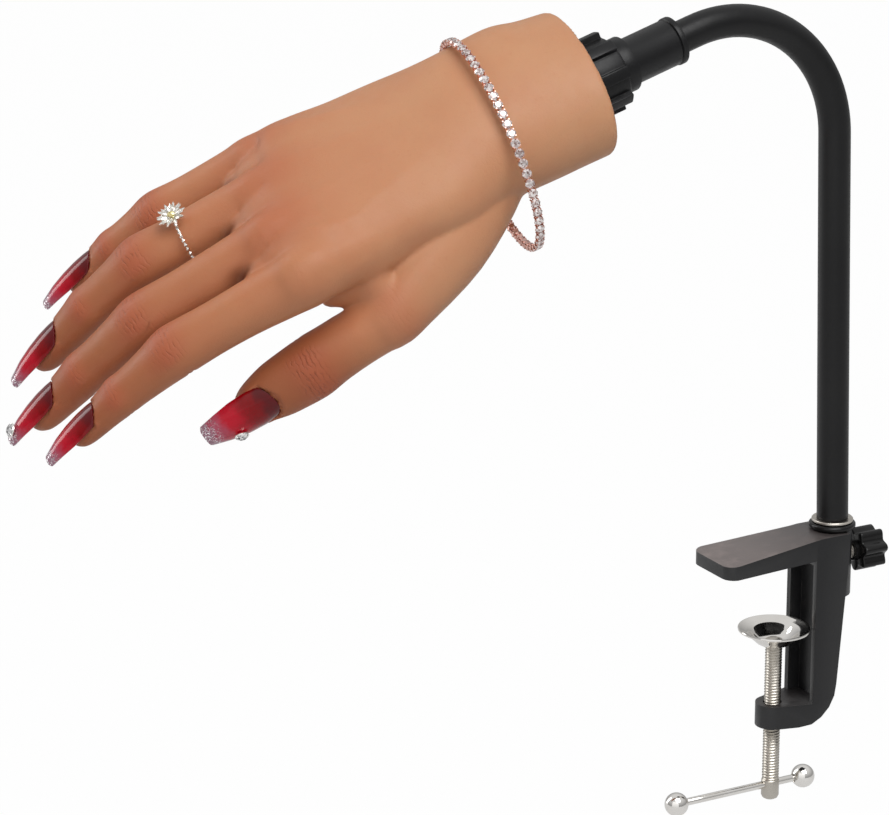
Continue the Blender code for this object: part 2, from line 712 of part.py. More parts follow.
def make_connector(parent, parent_place):
    end_place = parent_place.inverted() @ arm_place(arm_length())
    places = connector_places()
    holder = add_pivot("connector", parent, end_place)
    cap = places["barrel_back"] + BARREL_CAP_LENGTH
    profile = [
        (ARM_RADIUS + GAP, places["barrel_back"]), (ARM_RADIUS + GAP, places["socket"]),
        (0, places["socket"])]
    outer = [
        (0, places["nose_end"]), (places["nose_radius"], places["nose_end"]),
        (places["nose_radius"], places["ring_end"]), (BARREL_RING_RADIUS, places["ring_end"]),
        (BARREL_RING_RADIUS, places["ring_start"]), (BARREL_RADIUS, places["ring_start"]),
        (BARREL_RADIUS, cap), (BARREL_RADIUS + BARREL_CAP_LIP, cap),
        (BARREL_RADIUS + BARREL_CAP_LIP, places["barrel_back"])]
    barrel = turned("barrel", outer + profile, holder)
    stud_end = places["nose_end"] - INSERT_STUD_LENGTH
    stud_hole = rod(
        "stud_hole", (0, 0, stud_end - GAP), (0, 0, places["nose_end"] + OVERRUN),
        INSERT_STUD_RADIUS + GAP, pivot=holder)
    cut(barrel, stud_hole)
    paint(smooth(barrel), "Barrel plastic", BLACK_PLASTIC, 0.42)

    nut_pivot = add_pivot("collar_turn", holder, move(z=places["nut_start"]))
    nut_profile = [
        (0, NUT_LENGTH), (NUT_RADIUS, NUT_LENGTH), (NUT_RADIUS, NUT_RADIUS * 0.08),
        (NUT_RADIUS * 0.92, 0), (0, 0)]
    nut = turned("collar_nut", nut_profile, nut_pivot)
    half = NUT_RIB_WIDTH / 2
    for index in range(NUT_RIBS):
        inside = NUT_RADIUS * 0.8
        rib = box(
            "rib", (inside, -half, NUT_LENGTH * 0.06),
            (NUT_RADIUS + NUT_RIB_HEIGHT, half, NUT_LENGTH * 0.97), nut_pivot)
        rib.matrix_local = turn_z(360 / NUT_RIBS * (index + 0.25))
        join(nut, rib)
    nose_hole = rod(
        "nose_hole", (0, 0, -OVERRUN), (0, 0, NUT_TOP_WALL + OVERRUN),
        places["nose_radius"] + GAP, pivot=nut_pivot)
    neck_hole = rod(
        "neck_hole", (0, 0, NUT_TOP_WALL), (0, 0, NUT_LENGTH + OVERRUN), INSERT_NECK_RADIUS + GAP,
        pivot=nut_pivot)
    cut(nut, nose_hole, neck_hole)
    paint(smooth(nut), "Nut plastic", BLACK_PLASTIC, 0.45)

    roll = add_pivot("hand_roll", holder, move(z=places["wrist"]))
    nose_end = places["nose_end"] - places["wrist"]
    stud_tip = nose_end - INSERT_STUD_LENGTH
    insert_profile = [
        (0, INSERT_FLANGE_THICKNESS), (INSERT_FLANGE_RADIUS, INSERT_FLANGE_THICKNESS),
        (INSERT_FLANGE_RADIUS, 0), (INSERT_NECK_RADIUS, 0), (INSERT_NECK_RADIUS, nose_end + GAP),
        (INSERT_STUD_RADIUS, nose_end + GAP), (INSERT_STUD_RADIUS, stud_tip), (0, stud_tip)]
    insert = turned("wrist_insert", insert_profile, roll)
    paint(smooth(insert), "Insert plastic", BLACK_PLASTIC, 0.5)
    return roll, insert


# The hand: +X towards the finger tips, +Y towards the thumb, +Z out of its back


def knuckle_places():
    # Knuckles stand side by side, each a web's gap from the next, centred on the hand
    names = ["index", "middle", "ring", "little"]
    webs = [INDEX_MIDDLE_WEB, MIDDLE_RING_WEB, RING_LITTLE_WEB]
    across = {"index": 0.0}
    for first, second, web in zip(names, names[1:], webs):
        step = (FINGERS[first]["breadth"] + FINGERS[second]["breadth"]) / 2 + web
        across[second] = across[first] - step
    middle = mix(across["index"], across["little"], 0.445)
    places = {}
    for name in names:
        finger = FINGERS[name]
        x = PALM_LENGTH * finger["along_share"]
        z = PALM_DEPTH * finger["lift_share"]
        places[name] = move(x, across[name] - middle, z) @ turn_z(finger["spread"])
    return places


def thumb_knuckle():
    x = PALM_LENGTH * THUMB["along_share"]
    y = WRIST_BREADTH / 2 * THUMB["across_share"]
    z = PALM_DEPTH * THUMB["lift_share"]
    yaw, pitch, roll = THUMB["turn"]
    return move(x, y, z) @ turn_z(yaw) @ turn_y(pitch) @ turn_x(roll)


def knuckle_size(digit):
    breadth = digit["breadth"]
    if digit is THUMB:
        return breadth * thumb_breadth_shares[0], breadth * thumb_depth_shares[0]
    return breadth * finger_breadth_shares[0], breadth * finger_depth_shares[0]


def ball_rings(place, half_breadth, half_depth, sides):
    rings = []
    for tilt in (22.5, 45, 67.5):
        share = math.cos(math.radians(tilt))
        x = half_depth * math.sin(math.radians(tilt))
        section = oval(half_breadth * share, half_depth * share, sides)
        rings.append([place @ Vector((x, y, z)) for y, z in section])
    return rings, place @ Vector((half_depth, 0, 0))


def metacarpal(name, root, knuckle, root_size, swell, size, hand):
    rings = []
    for share in (0, 0.5, 1):
        place = Matrix.Translation(root.lerp(knuckle.translation, share)) @ knuckle.to_3x3().to_4x4()
        grow = swell if share == 0.5 else 1
        half_breadth = mix(root_size[0], size[0], share) * grow
        section = oval(half_breadth, mix(root_size[1], size[1], share) * grow, FINGER_SIDES)
        rings.append([place @ Vector((0, y, z)) for y, z in section])
    ball, tip = ball_rings(knuckle, size[0], size[1], FINGER_SIDES)
    return loft(name, rings + ball, root, tip, hand)


def slot_box(name, reach, pivot):
    # The slot in a knuckle's ball in which the two bones meet
    half = EYE_THICKNESS / 2 + GAP + CHEEK_THICKNESS + GAP
    low = (-FORK_LENGTH - GAP, -half, -reach - OVERRUN)
    high = (reach + OVERRUN, half, reach * 0.54)
    return box(name, low, high, pivot)


def fork(name, pivot, local):
    # Two cheeks and a pin round a hinge at the local origin, on a rod that comes from -X
    outline = arc((0, 0), EYE_RADIUS, -90, 90, 6)
    outline += [(-FORK_LENGTH, BONE_RADIUS), (-FORK_LENGTH, -BONE_RADIUS)]
    half = EYE_THICKNESS / 2 + GAP + CHEEK_THICKNESS
    cheeks = plate(name, outline, -half, half, pivot, local @ turn_x(90))
    inner = EYE_THICKNESS / 2 + GAP
    reach = EYE_RADIUS + GAP
    gap = box("fork_gap", (-reach, -inner, -reach), (reach + OVERRUN, inner, reach), pivot)
    gap.matrix_local = local
    cut(cheeks, gap)
    pin = rod("hinge_pin", (0, -half + OVERRUN / 5, 0), (0, half - OVERRUN / 5, 0), HINGE_PIN_RADIUS, 8, pivot)
    pin.matrix_local = local
    return join(cheeks, pin)


def make_bone(name, length, pivot, forked):
    half = EYE_THICKNESS / 2
    reach = length - FORK_LENGTH + OVERRUN / 2 if forked else length * 0.6
    eye = rod(name, (0, -half, 0), (0, half, 0), EYE_RADIUS, 10, pivot)
    join(eye, rod("shaft", (EYE_RADIUS * 0.75, 0, 0), (reach, 0, 0), BONE_RADIUS, 6, pivot))
    trim_half = BONE_RADIUS + GAP
    clear = EYE_RADIUS + GAP + CHEEK_THICKNESS * 0.1
    for side in (-1, 1):
        low = min(side * half, side * trim_half)
        high = max(side * half, side * trim_half)
        cut(eye, box("eye_side", (0, low, -trim_half), (clear, high, trim_half), pivot))
    cut(eye, rod("eye_hole", (0, -half - OVERRUN, 0), (0, half + OVERRUN, 0),
                 HINGE_PIN_RADIUS + GAP, 10, pivot))
    if forked:
        join(eye, fork("end_fork", pivot, move(length)))
    return paint(smooth(eye), "Armature", BONE_STEEL, 0.4, 1.0)


def segment(name, length, sizes, relief, tipped, pivot):
    # One finger segment. Its start is dished round the ball of the segment before it, and
    # relieved on the palm's side, so that it can curl. It ends in a ball, or in a finger tip.
    (breadth_0, depth_0), (breadth_1, depth_1) = sizes
    reach_x = depth_0 + FINGER_JOINT_GAP
    reach_y = breadth_0 + FINGER_JOINT_GAP
    slope = math.tan(math.radians(relief))

    def start_x(y, z):
        dish = math.sqrt(max(reach_x ** 2 * (1 - (y / reach_y) ** 2) - z ** 2, 0))
        return max(dish, -z * slope)

    rings = []
    section = oval(breadth_0, depth_0, FINGER_SIDES)
    for tilt in (22.5, 45, 67.5, 90):
        share = math.sin(math.radians(tilt))
        points = [(y * share, z * share) for y, z in section]
        rings.append([Vector((start_x(y, z), y, z)) for y, z in points])
    for step in (0.5, 1.0):
        ring = []
        for y, z in section:
            x = mix(start_x(y, z), length, step) if not tipped else mix(start_x(y, z), length * 0.72, step)
            share = x / length
            ring.append(Vector((
                x, y * mix(1, breadth_1 / breadth_0, share), z * mix(1, depth_1 / depth_0, share))))
        rings.append(ring)
    if not tipped:
        ball, tip = ball_rings(move(length), breadth_1, depth_1, FINGER_SIDES)
        return loft(name, rings + ball, Vector((reach_x, 0, 0)), tip, pivot)
    base = length * 0.72
    wide = mix(1, breadth_1 / breadth_0, base / length) * breadth_0
    deep = mix(1, depth_1 / depth_0, base / length) * depth_0
    sag = deep * 0.12
    for tilt in (25, 50, 72):
        share = math.cos(math.radians(tilt))
        x = base + (length - base) * math.sin(math.radians(tilt))
        points = oval(wide * share, deep * share, FINGER_SIDES)
        rings.append([Vector((x, y, z - sag * (1 - share))) for y, z in points])
    return loft(name, rings, Vector((reach_x, 0, 0)), Vector((length, 0, -sag)), pivot)


# Half breadth of a nail along its length, as shares of the finger tip's half breadth, and how
# far its middle stands over the bone's axis, as shares of the finger tip's half depth
nail_place_shares = (0.0, 0.12, 0.3, 0.52, 0.75, 1.0)
nail_breadth_shares = (0.54, 0.82, 0.91, 0.87, 0.71, 0.46)
nail_height_shares = (1.04, 1.10, 1.12, 1.06, 0.92, 0.62)


nail_half_angle = 62.0
nail_sag_share = 0.52


def nail_point(length, size, lift, place, angle):
    # A point of the nail: place is a share of its length, angle runs across it
    index = 1
    while index < len(nail_place_shares) - 1 and nail_place_shares[index] < place:
        index += 1
    low, high = nail_place_shares[index - 1], nail_place_shares[index]
    share = (place - low) / (high - low)
    wide = mix(nail_breadth_shares[index - 1], nail_breadth_shares[index], share) * size[0]
    over = mix(nail_height_shares[index - 1], nail_height_shares[index], share) * size[1]
    span = NAIL_BED_LENGTH + NAIL_OVERHANG
    edge = math.radians(nail_half_angle)
    turn = math.radians(angle)
    sag = wide * nail_sag_share * (1 - math.cos(turn)) / (1 - math.cos(edge))
    x = length - NAIL_BED_LENGTH + span * place
    return Vector((x, wide * math.sin(turn) / math.sin(edge), over - sag + lift))


def nail_rows(length, size, lift):
    rows = []
    for place in nail_place_shares:
        angles = [mix(-nail_half_angle, nail_half_angle, step / 6) for step in range(7)]
        rows.append([nail_point(length, size, lift, place, angle) for angle in angles])
    return rows


def nail_shell(name, length, size, low, high, roll, pivot):
    # A curved shell between two heights over the nail's line, rolled round the bone
    bm = bmesh.new()
    under = [[bm.verts.new(point) for point in row] for row in nail_rows(length, size, low)]
    over = [[bm.verts.new(point) for point in row] for row in nail_rows(length, size, high)]
    for rows in (under, over):
        for first, second in zip(rows, rows[1:]):
            for a, b, c, d in zip(first, first[1:], second[1:], second):
                bm.faces.new((a, b, c, d))
    rim_under = under[0] + [row[-1] for row in under[1:]]
    rim_under += list(reversed(under[-1][:-1])) + [row[0] for row in reversed(under[1:-1])]
    rim_over = over[0] + [row[-1] for row in over[1:]]
    rim_over += list(reversed(over[-1][:-1])) + [row[0] for row in reversed(over[1:-1])]
    for index, (a, b) in enumerate(zip(rim_under, rim_over)):
        after = (index + 1) % len(rim_under)
        bm.faces.new((a, rim_under[after], rim_over[after], b))
    bmesh.ops.transform(bm, verts=bm.verts, matrix=turn_x(roll))
    return from_bmesh(name, bm, pivot)


def make_digit(name, digit, knuckle, labels, breadth_shares, depth_shares, reliefs, hand):
    breadth = digit["breadth"]
    sizes = [(breadth * b, breadth * d) for b, d in zip(breadth_shares, depth_shares)]
    parent, local = hand, knuckle
    made = {}
    count = len(digit["lengths"])
    for index, (length, bend, label) in enumerate(zip(digit["lengths"], digit["bends"], labels)):
        pivot = add_pivot("%s_%s_bend" % (name, label), parent, local @ turn_y(bend))
        tipped = index == count - 1
        pair = (sizes[index], sizes[index + 1])
        skin = segment("%s_%s_skin" % (name, label), length, pair, reliefs[index], tipped, pivot)
        bore_end = length * 0.62 if tipped else length
        cut(skin, rod("bore", (-OVERRUN, 0, 0), (bore_end, 0, 0), BONE_RADIUS + GAP, 8, pivot))
        made[index] = (pivot, skin)
        if index:
            cut(made[index - 1][1], slot_box("slot", sizes[index][1], pivot))
        make_bone("%s_%s_bone" % (name, label), length, pivot, not tipped)
        if tipped:
            tip = (sizes[index + 1][0], sizes[index + 1][1])
            roll = THUMB_NAIL_ROLL if digit is THUMB else FINGER_NAIL_ROLL
            cut(skin, nail_shell("bed", length, tip, -GAP, tip[1] + NAIL_THICKNESS, roll, pivot))
            nail = nail_shell("%s_nail" % name, length, tip, 0, NAIL_THICKNESS, roll, pivot)
            paint(smooth(nail), "Nail gel", NAIL_RED, 0.08)
        parent, local = pivot, move(length)
    for pivot, skin in made.values():
        paint(smooth(skin), "Silicone", SKIN, 0.5)
    return made


# Palm sections from the wrist's cut end, as shares of the palm's length, of half the wrist's
# breadth and depth, and of half the knuckle row's breadth and the palm's depth
palm_place_shares = (0.0, 0.09, 0.18, 0.36, 0.52, 0.70, 0.86, 0.945)
palm_knuckle_blend_shares = (0.0, 0.0, 0.0, 0.1, 0.62, 0.93, 1.0, 1.0)
palm_breadth_shares = (1.0, 0.98, 0.96, 0.95, 0.96, 0.94, 0.94, 0.93)
palm_depth_shares = (1.0, 0.985, 0.97, 0.99, 1.0, 0.98, 0.90, 0.72)
palm_fullness_shares = (1.0, 1.0, 1.0, 0.98, 0.85, 0.72, 0.66, 0.66)
# The wrist swells over the end of the arm's bone, and a little on the other side
wrist_swell_shares = (0.05, 0.62, 1.0, 0.6, 0.05, 0.0, 0.0, 0.0)
wrist_swell_angle = 139.0
palm_end_slope_share = 0.5
palm_cap_shares = (0.86, 0.4)


def fuller_oval(half_breadth, half_depth, fullness, sides):
    # An oval whose flanks fill out towards a rounded rectangle as fullness drops under one
    points = []
    for x, y in oval(1, 1, sides):
        points.append((
            half_breadth * math.copysign(abs(x) ** fullness, x),
            half_depth * math.copysign(abs(y) ** fullness, y)))
    return points


def knuckle_line(knuckles, y):
    # How far the knuckles stand from the wrist, read at a place across the hand
    row = [place.translation for place in knuckles.values()]
    if y >= row[0].y:
        return row[0].x
    for first, second in zip(row, row[1:]):
        if y >= second.y:
            return mix(second.x, first.x, (y - second.y) / (first.y - second.y))
    return row[-1].x


def swollen(y, z, half_breadth, half_depth, share):
    # A point of a wrist section, moved out where the wrist swells
    angle = math.radians(wrist_swell_angle)
    side = Vector((math.cos(angle), math.sin(angle)))
    facing = Vector((y / half_breadth, z / half_depth)).normalized().dot(side)
    size = WRIST_SWELL if facing > 0 else -WRIST_SWELL_UNDER
    moved = side * size * share * facing ** 2
    return y + moved.x, z + moved.y


def make_palm_core(hand, knuckles):
    row_half = (knuckles["index"].translation.y - knuckles["little"].translation.y) / 2
    row_half += FINGERS["index"]["breadth"] / 2
    row_middle = (knuckles["index"].translation.y + knuckles["little"].translation.y) / 2
    rings = []
    for place, blend, wide, deep, fullness, swell in zip(
            palm_place_shares, palm_knuckle_blend_shares, palm_breadth_shares, palm_depth_shares,
            palm_fullness_shares, wrist_swell_shares):
        half_breadth = mix(WRIST_BREADTH / 2, row_half, blend) * wide
        half_depth = mix(WRIST_DEPTH, PALM_DEPTH, blend) / 2 * deep
        ring = []
        for y, z in fuller_oval(half_breadth, half_depth, fullness, PALM_SIDES):
            y, z = swollen(y, z, half_breadth, half_depth, swell)
            across = y + row_middle * blend
            along = mix(PALM_LENGTH, knuckle_line(knuckles, across), blend) * place
            along += z * palm_end_slope_share * blend
            ring.append(Vector((along, across, z - PALM_EDGE * blend)))
        rings.append(ring)
    middle = sum(rings[-1], Vector()) / PALM_SIDES
    for share in palm_cap_shares:
        rings.append([middle.lerp(point, share) for point in rings[-1]])
    return loft("palm_skin", rings, Vector((0, 0, 0)), middle, hand)


def hub_place():
    return Vector((PALM_LENGTH * 0.34, 0, -PALM_EDGE / 2))


def make_hand(roll, insert):
    base = Matrix(((0, 0, 1, 0), (0, -1, 0, 0), (1, 0, 0, 0), (0, 0, 0, 1)))
    turn = turn_z(HAND_YAW) @ turn_y(HAND_PITCH) @ turn_x(HAND_ROLL)
    hand = add_pivot("hand", roll, base @ turn)
    knuckles = knuckle_places()
    palm = make_palm_core(hand, knuckles)
    hub = hub_place()
    for name, knuckle in knuckles.items():
        size = knuckle_size(FINGERS[name])
        root = Vector((PALM_LENGTH * 0.55, knuckle.translation.y * 0.78, -PALM_EDGE * 1.2))
        bar = metacarpal(name + "_root", root, knuckle, (size[0] * 0.9, size[1]), 1, size, hand)
        join(palm, bar)
    size = knuckle_size(THUMB)
    root = Vector((PALM_LENGTH * 0.36, WRIST_BREADTH * 0.26, -WRIST_DEPTH * 0.2))
    root_size = (size[0] * 1.0, size[1] * 1.1)
    join(palm, metacarpal("thumb_root", root, thumb_knuckle(), root_size, 1.2, size, hand))

    digits = {}
    for name, finger in FINGERS.items():
        digits[name] = make_digit(
            name, finger, knuckles[name], ("proximal", "middle", "distal"),
            finger_breadth_shares, finger_depth_shares, finger_reliefs, hand)
    digits["thumb"] = make_digit(
        "thumb", THUMB, thumb_knuckle(), ("proximal", "distal"),
        thumb_breadth_shares, thumb_depth_shares, thumb_reliefs, hand)

    half_size = Vector((HUB_LENGTH, HUB_BREADTH, HUB_THICKNESS)) / 2
    plate_solid = box("palm_armature", hub - half_size, hub + half_size, hand)
    skirt = Vector((GAP, GAP, GAP))
    cut(palm, box("hub_room", hub - half_size - skirt, hub + half_size + skirt, hand))
    into_hand = hand.matrix_local.inverted()
    stem_start = into_hand @ Vector((0, 0, INSERT_FLANGE_THICKNESS / 2 + GAP))
    stem_end = hub - Vector((half_size.x - OVERRUN, 0, 0))
    join(plate_solid, rod("stem", stem_start, stem_end, STEM_RADIUS, 12, hand))
    back = (stem_start - stem_end).normalized() * GAP
    room = (stem_start + back, stem_end - back)
    cut(insert, rod("stem_hole", *room, STEM_RADIUS + GAP, 12, hand))
    flange_start = into_hand @ Vector((0, 0, -OVERRUN * 4))
    flange_end = into_hand @ Vector((0, 0, INSERT_FLANGE_THICKNESS + GAP))
    recess = rod("recess", flange_start, flange_end, INSERT_FLANGE_RADIUS + GAP, TURN_STEPS, hand)
    cut(palm, recess, rod("stem_room", *room, STEM_RADIUS + GAP, 12, hand))

    forks = dict(knuckles)
    forks["thumb"] = thumb_knuckle()
    for name, place in forks.items():
        pivot = digits[name][0][0]
        digit = THUMB if name == "thumb" else FINGERS[name]
        reach = knuckle_size(digit)[1]
        cut(palm, slot_box("slot", reach, pivot))
        fork_start = place @ Vector((-FORK_LENGTH + OVERRUN / 2, 0, 0))
        side = hub + Vector((half_size.x - OVERRUN, 0, 0))
        side.y = max(min(fork_start.y * 0.5, half_size.y - OVERRUN * 3), -half_size.y + OVERRUN * 3)
        if name == "thumb":
            side.x = hub.x + half_size.x * 0.2
        ray = (fork_start - side).normalized()
        room_end = fork_start + ray * OVERRUN
        cut(palm, rod("ray_room", side, room_end, BONE_RADIUS + GAP, 8, hand))
        join(plate_solid, rod("ray", side, fork_start, BONE_RADIUS, 8, hand))
        join(plate_solid, fork("knuckle_fork", hand, place))
    paint(smooth(plate_solid), "Armature", BONE_STEEL, 0.4, 1.0)
    paint(smooth(palm), "Silicone", SKIN, 0.5)
    return hand, digits


# Ornaments


def beaded_loop(name, radii, belly, waist, count, sides, pivot):
    # A closed row of beads round an oval in the pivot's Y and Z
    rings = []
    for step in range(count * 2):
        turn = math.pi * step / count
        size = belly if step % 2 == 0 else waist
        centre = Vector((0, radii[0] * math.cos(turn), radii[1] * math.sin(turn)))
        outward = Vector((0, math.cos(turn) * radii[1], math.sin(turn) * radii[0])).normalized()
        ring = []
        for side in range(sides):
            angle = 2 * math.pi * side / sides
            ring.append(centre + outward * size * math.cos(angle) + Vector((size * math.sin(angle), 0, 0)))
        rings.append(ring)
    return loft(name, rings, pivot=pivot, loop=True)


bracelet_place_share = 0.31


def make_bracelet(hand):
    place = PALM_LENGTH * bracelet_place_share
    local = move(place, BRACELET_SIDEWAYS, -BRACELET_SAG) @ turn_x(BRACELET_TURN)
    pivot = add_pivot("bracelet_slide", hand, local)
    radii = (WRIST_BREADTH / 2 + BRACELET_LONG_SLACK, WRIST_DEPTH / 2 + BRACELET_SHORT_SLACK)
    bracelet = beaded_loop(
        "bracelet", radii, BRACELET_STONE_RADIUS, BRACELET_LINK_RADIUS, BRACELET_STONES, 6, pivot)
    paint(smooth(bracelet), "Rose gold", ROSE_GOLD, 0.2, 1.0)


def make_ring(digits):
    finger = FINGERS["ring"]
    length = finger["lengths"][0]
    place = length * 0.64
    breadth = finger["breadth"]
    half_breadth = mix(finger_breadth_shares[0], finger_breadth_shares[1], 0.64) * breadth
    half_depth = mix(finger_depth_shares[0], finger_depth_shares[1], 0.64) * breadth
    radius = max(half_breadth, half_depth) + RING_FIT + RING_WIRE_RADIUS
    pivot = add_pivot("ring_turn", digits["ring"][0][0], move(place))
    band = beaded_loop(
        "ring_band", (radius, radius), RING_WIRE_RADIUS, RING_WIRE_RADIUS * 0.85, 14, 6, pivot)
    paint(smooth(band), "Ring silver", SILVER, 0.18, 1.0)
    outline = []
    for step in range(RING_PETALS * 4):
        turn = 2 * math.pi * step / (RING_PETALS * 4)
        size = (RING_HEAD_RADIUS, mix(RING_HEAD_RADIUS, RING_HEAD_WAIST, 0.45), RING_HEAD_WAIST,
                mix(RING_HEAD_RADIUS, RING_HEAD_WAIST, 0.45))[step % 4]
        outline.append((size * math.cos(turn), size * math.sin(turn)))
    low = radius + RING_WIRE_RADIUS + GAP
    head = plate("ring_head", outline, low, low + RING_HEAD_HEIGHT / 2, pivot)
    stone = rod(
        "centre_stone", (0, 0, low + RING_HEAD_HEIGHT / 4), (0, 0, low + RING_HEAD_HEIGHT),
        RING_HEAD_WAIST * 0.8, 12, pivot)
    join(head, stone)
    paint(smooth(head), "Ring stones", STONE, 0.08)


# Each rhinestone's place along its nail, and its angle across it
rhinestones = {
    "middle": {"name": "middle_rhinestone", "along_share": 0.84, "angle": 16.0},
    "thumb": {"name": "thumb_rhinestone", "along_share": 0.56, "angle": 44.0},
}
stone_seat_share = 0.18
nail_step_share = 0.04


def make_stones(digits):
    for name, stone_data in rhinestones.items():
        digit = THUMB if name == "thumb" else FINGERS[name]
        shares = (thumb_breadth_shares, thumb_depth_shares)
        if name != "thumb":
            shares = (finger_breadth_shares, finger_depth_shares)
        size = (digit["breadth"] * shares[0][-1], digit["breadth"] * shares[1][-1])
        length = digit["lengths"][-1]
        pivot = digits[name][len(digit["lengths"]) - 1][0]
        along, angle = stone_data["along_share"], stone_data["angle"]
        seat = nail_point(length, size, NAIL_THICKNESS, along, angle)
        ahead = nail_point(length, size, NAIL_THICKNESS, along + nail_step_share, angle) - seat
        aside = nail_point(length, size, NAIL_THICKNESS, along, angle * (1 + nail_step_share)) - seat
        normal = ahead.cross(aside).normalized()
        place = seat + normal * (GAP + STONE_RADIUS * stone_seat_share)
        roll = turn_x(THUMB_NAIL_ROLL if name == "thumb" else FINGER_NAIL_ROLL)
        local = roll @ Matrix.Translation(place) @ normal.to_track_quat("Z", "X").to_matrix().to_4x4()
        profile = [
            (0, STONE_HEIGHT), (STONE_RADIUS * 0.55, STONE_HEIGHT), (STONE_RADIUS, STONE_HEIGHT * 0.45),
            (STONE_RADIUS * 0.9, 0), (0, 0)]
        stone = turned(stone_data["name"], profile, pivot, local, steps=10)
        paint(smooth(stone), "Rhinestone", STONE, 0.05)


clear_scene()
PARTS = new_collection("Nail practice hand")
PIVOTS = new_collection("Joint axes")
frame_places = clamp_places()
make_clamp_frame(frame_places)
make_clamp_screw()
make_lock(frame_places)
post_pivot = make_post(frame_places)
arm_end, arm_end_place = make_arm(post_pivot)
roll_pivot, wrist_insert = make_connector(arm_end, arm_end_place)
hand_pivot, hand_digits = make_hand(roll_pivot, wrist_insert)
make_bracelet(hand_pivot)
make_ring(hand_digits)
make_stones(hand_digits)
bpy.context.view_layer.update()
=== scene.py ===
import json
import math

import bmesh
import bpy
import numpy as np
from mathutils import Matrix, Vector


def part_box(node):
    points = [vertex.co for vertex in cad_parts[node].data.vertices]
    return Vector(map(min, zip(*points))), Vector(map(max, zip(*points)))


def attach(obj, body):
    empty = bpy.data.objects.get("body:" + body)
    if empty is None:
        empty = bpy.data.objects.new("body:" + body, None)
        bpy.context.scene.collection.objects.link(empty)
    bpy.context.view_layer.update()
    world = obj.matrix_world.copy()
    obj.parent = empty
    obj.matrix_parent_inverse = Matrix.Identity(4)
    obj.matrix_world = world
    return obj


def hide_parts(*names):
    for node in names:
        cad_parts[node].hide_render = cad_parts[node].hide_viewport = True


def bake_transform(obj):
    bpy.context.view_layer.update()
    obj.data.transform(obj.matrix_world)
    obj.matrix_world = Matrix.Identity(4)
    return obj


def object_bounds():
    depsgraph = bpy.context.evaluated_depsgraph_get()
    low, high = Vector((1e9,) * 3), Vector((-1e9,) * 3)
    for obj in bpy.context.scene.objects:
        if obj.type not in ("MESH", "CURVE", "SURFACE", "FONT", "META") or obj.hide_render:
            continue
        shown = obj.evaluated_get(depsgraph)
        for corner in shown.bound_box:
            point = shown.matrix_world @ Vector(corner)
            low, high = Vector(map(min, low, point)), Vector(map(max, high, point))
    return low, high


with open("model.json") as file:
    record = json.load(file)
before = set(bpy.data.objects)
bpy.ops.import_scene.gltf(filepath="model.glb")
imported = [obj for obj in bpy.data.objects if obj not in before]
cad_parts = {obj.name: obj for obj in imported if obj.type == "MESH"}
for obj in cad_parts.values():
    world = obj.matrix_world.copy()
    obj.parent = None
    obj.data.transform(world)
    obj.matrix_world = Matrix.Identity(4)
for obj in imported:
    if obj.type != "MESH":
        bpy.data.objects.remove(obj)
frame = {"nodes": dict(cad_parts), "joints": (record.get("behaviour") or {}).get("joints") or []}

# Nail practice hand on its bendable arm: the looks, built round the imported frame.
# Sizes in the tables are millimetres and degrees.
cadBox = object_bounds()
mm = 0.001
joints = {joint["name"]: joint for joint in frame["joints"]}
print("frame loaded:", len(frame["nodes"]), "nodes")


# Small tools

def turn(axis, angle):
    return Matrix.Rotation(math.radians(angle), 4, axis)


def shift(x=0.0, y=0.0, z=0.0):
    return Matrix.Translation((x * mm, y * mm, z * mm))


def jointPoint(name):
    return Vector(joints[name]["pos_m"])


def jointAxis(name):
    return Vector(joints[name]["axis"])


def frameAt(point, along, up):
    # +X runs along, +Z is as near to up as it can be
    x = Vector(along).normalized()
    y = Vector(up).cross(x).normalized()
    place = Matrix((x, y, x.cross(y))).transposed().to_4x4()
    place.translation = point
    return place


def smoothRows(rows, steps):
    # A smooth curve through rows of numbers, with steps rows for each given one
    table = np.array(rows, float)
    ends = np.vstack([2 * table[0] - table[1], table, 2 * table[-1] - table[-2]])
    made = []
    for index in range(len(table) - 1):
        a, b, c, d = ends[index:index + 4]
        for step in range(steps):
            t = step / steps
            made.append(0.5 * (2 * b + (c - a) * t + (2 * a - 5 * b + 4 * c - d) * t * t
                               + (3 * b - 3 * c + d - a) * t ** 3))
    made.append(table[-1])
    return np.array(made)


def bridgeRings(bm, rings):
    # Circles put on the given points and bridged one to the next, closed at both ends
    edgeSets = []
    for index, points in enumerate(rings):
        capped = index in (0, len(rings) - 1)
        verts = bmesh.ops.create_circle(bm, cap_ends=capped, segments=len(points), radius=1.0)["verts"]
        edgeSets.append(list({edge for vert in verts for edge in vert.link_edges}))
        for vert, point in zip(verts, points):
            vert.co = point
    for first, second in zip(edgeSets, edgeSets[1:]):
        bmesh.ops.bridge_loops(bm, edges=first + second)


def tubeRings(centres, ups, wides, deeps, sides, fullness=1.0):
    # Oval rings square to a centre line
    centres = [Vector(point) for point in centres]
    rings = []
    for index, centre in enumerate(centres):
        after = centres[min(index + 1, len(centres) - 1)]
        before = centres[max(index - 1, 0)]
        place = frameAt(centre, after - before, Vector(ups[index]))
        ring = []
        for side in range(sides):
            angle = 2 * math.pi * side / sides
            y = math.copysign(abs(math.cos(angle)) ** fullness, math.cos(angle)) * wides[index]
            z = math.copysign(abs(math.sin(angle)) ** fullness, math.sin(angle)) * deeps[index]
            ring.append(place @ Vector((0, y, z)))
        rings.append(ring)
    return rings


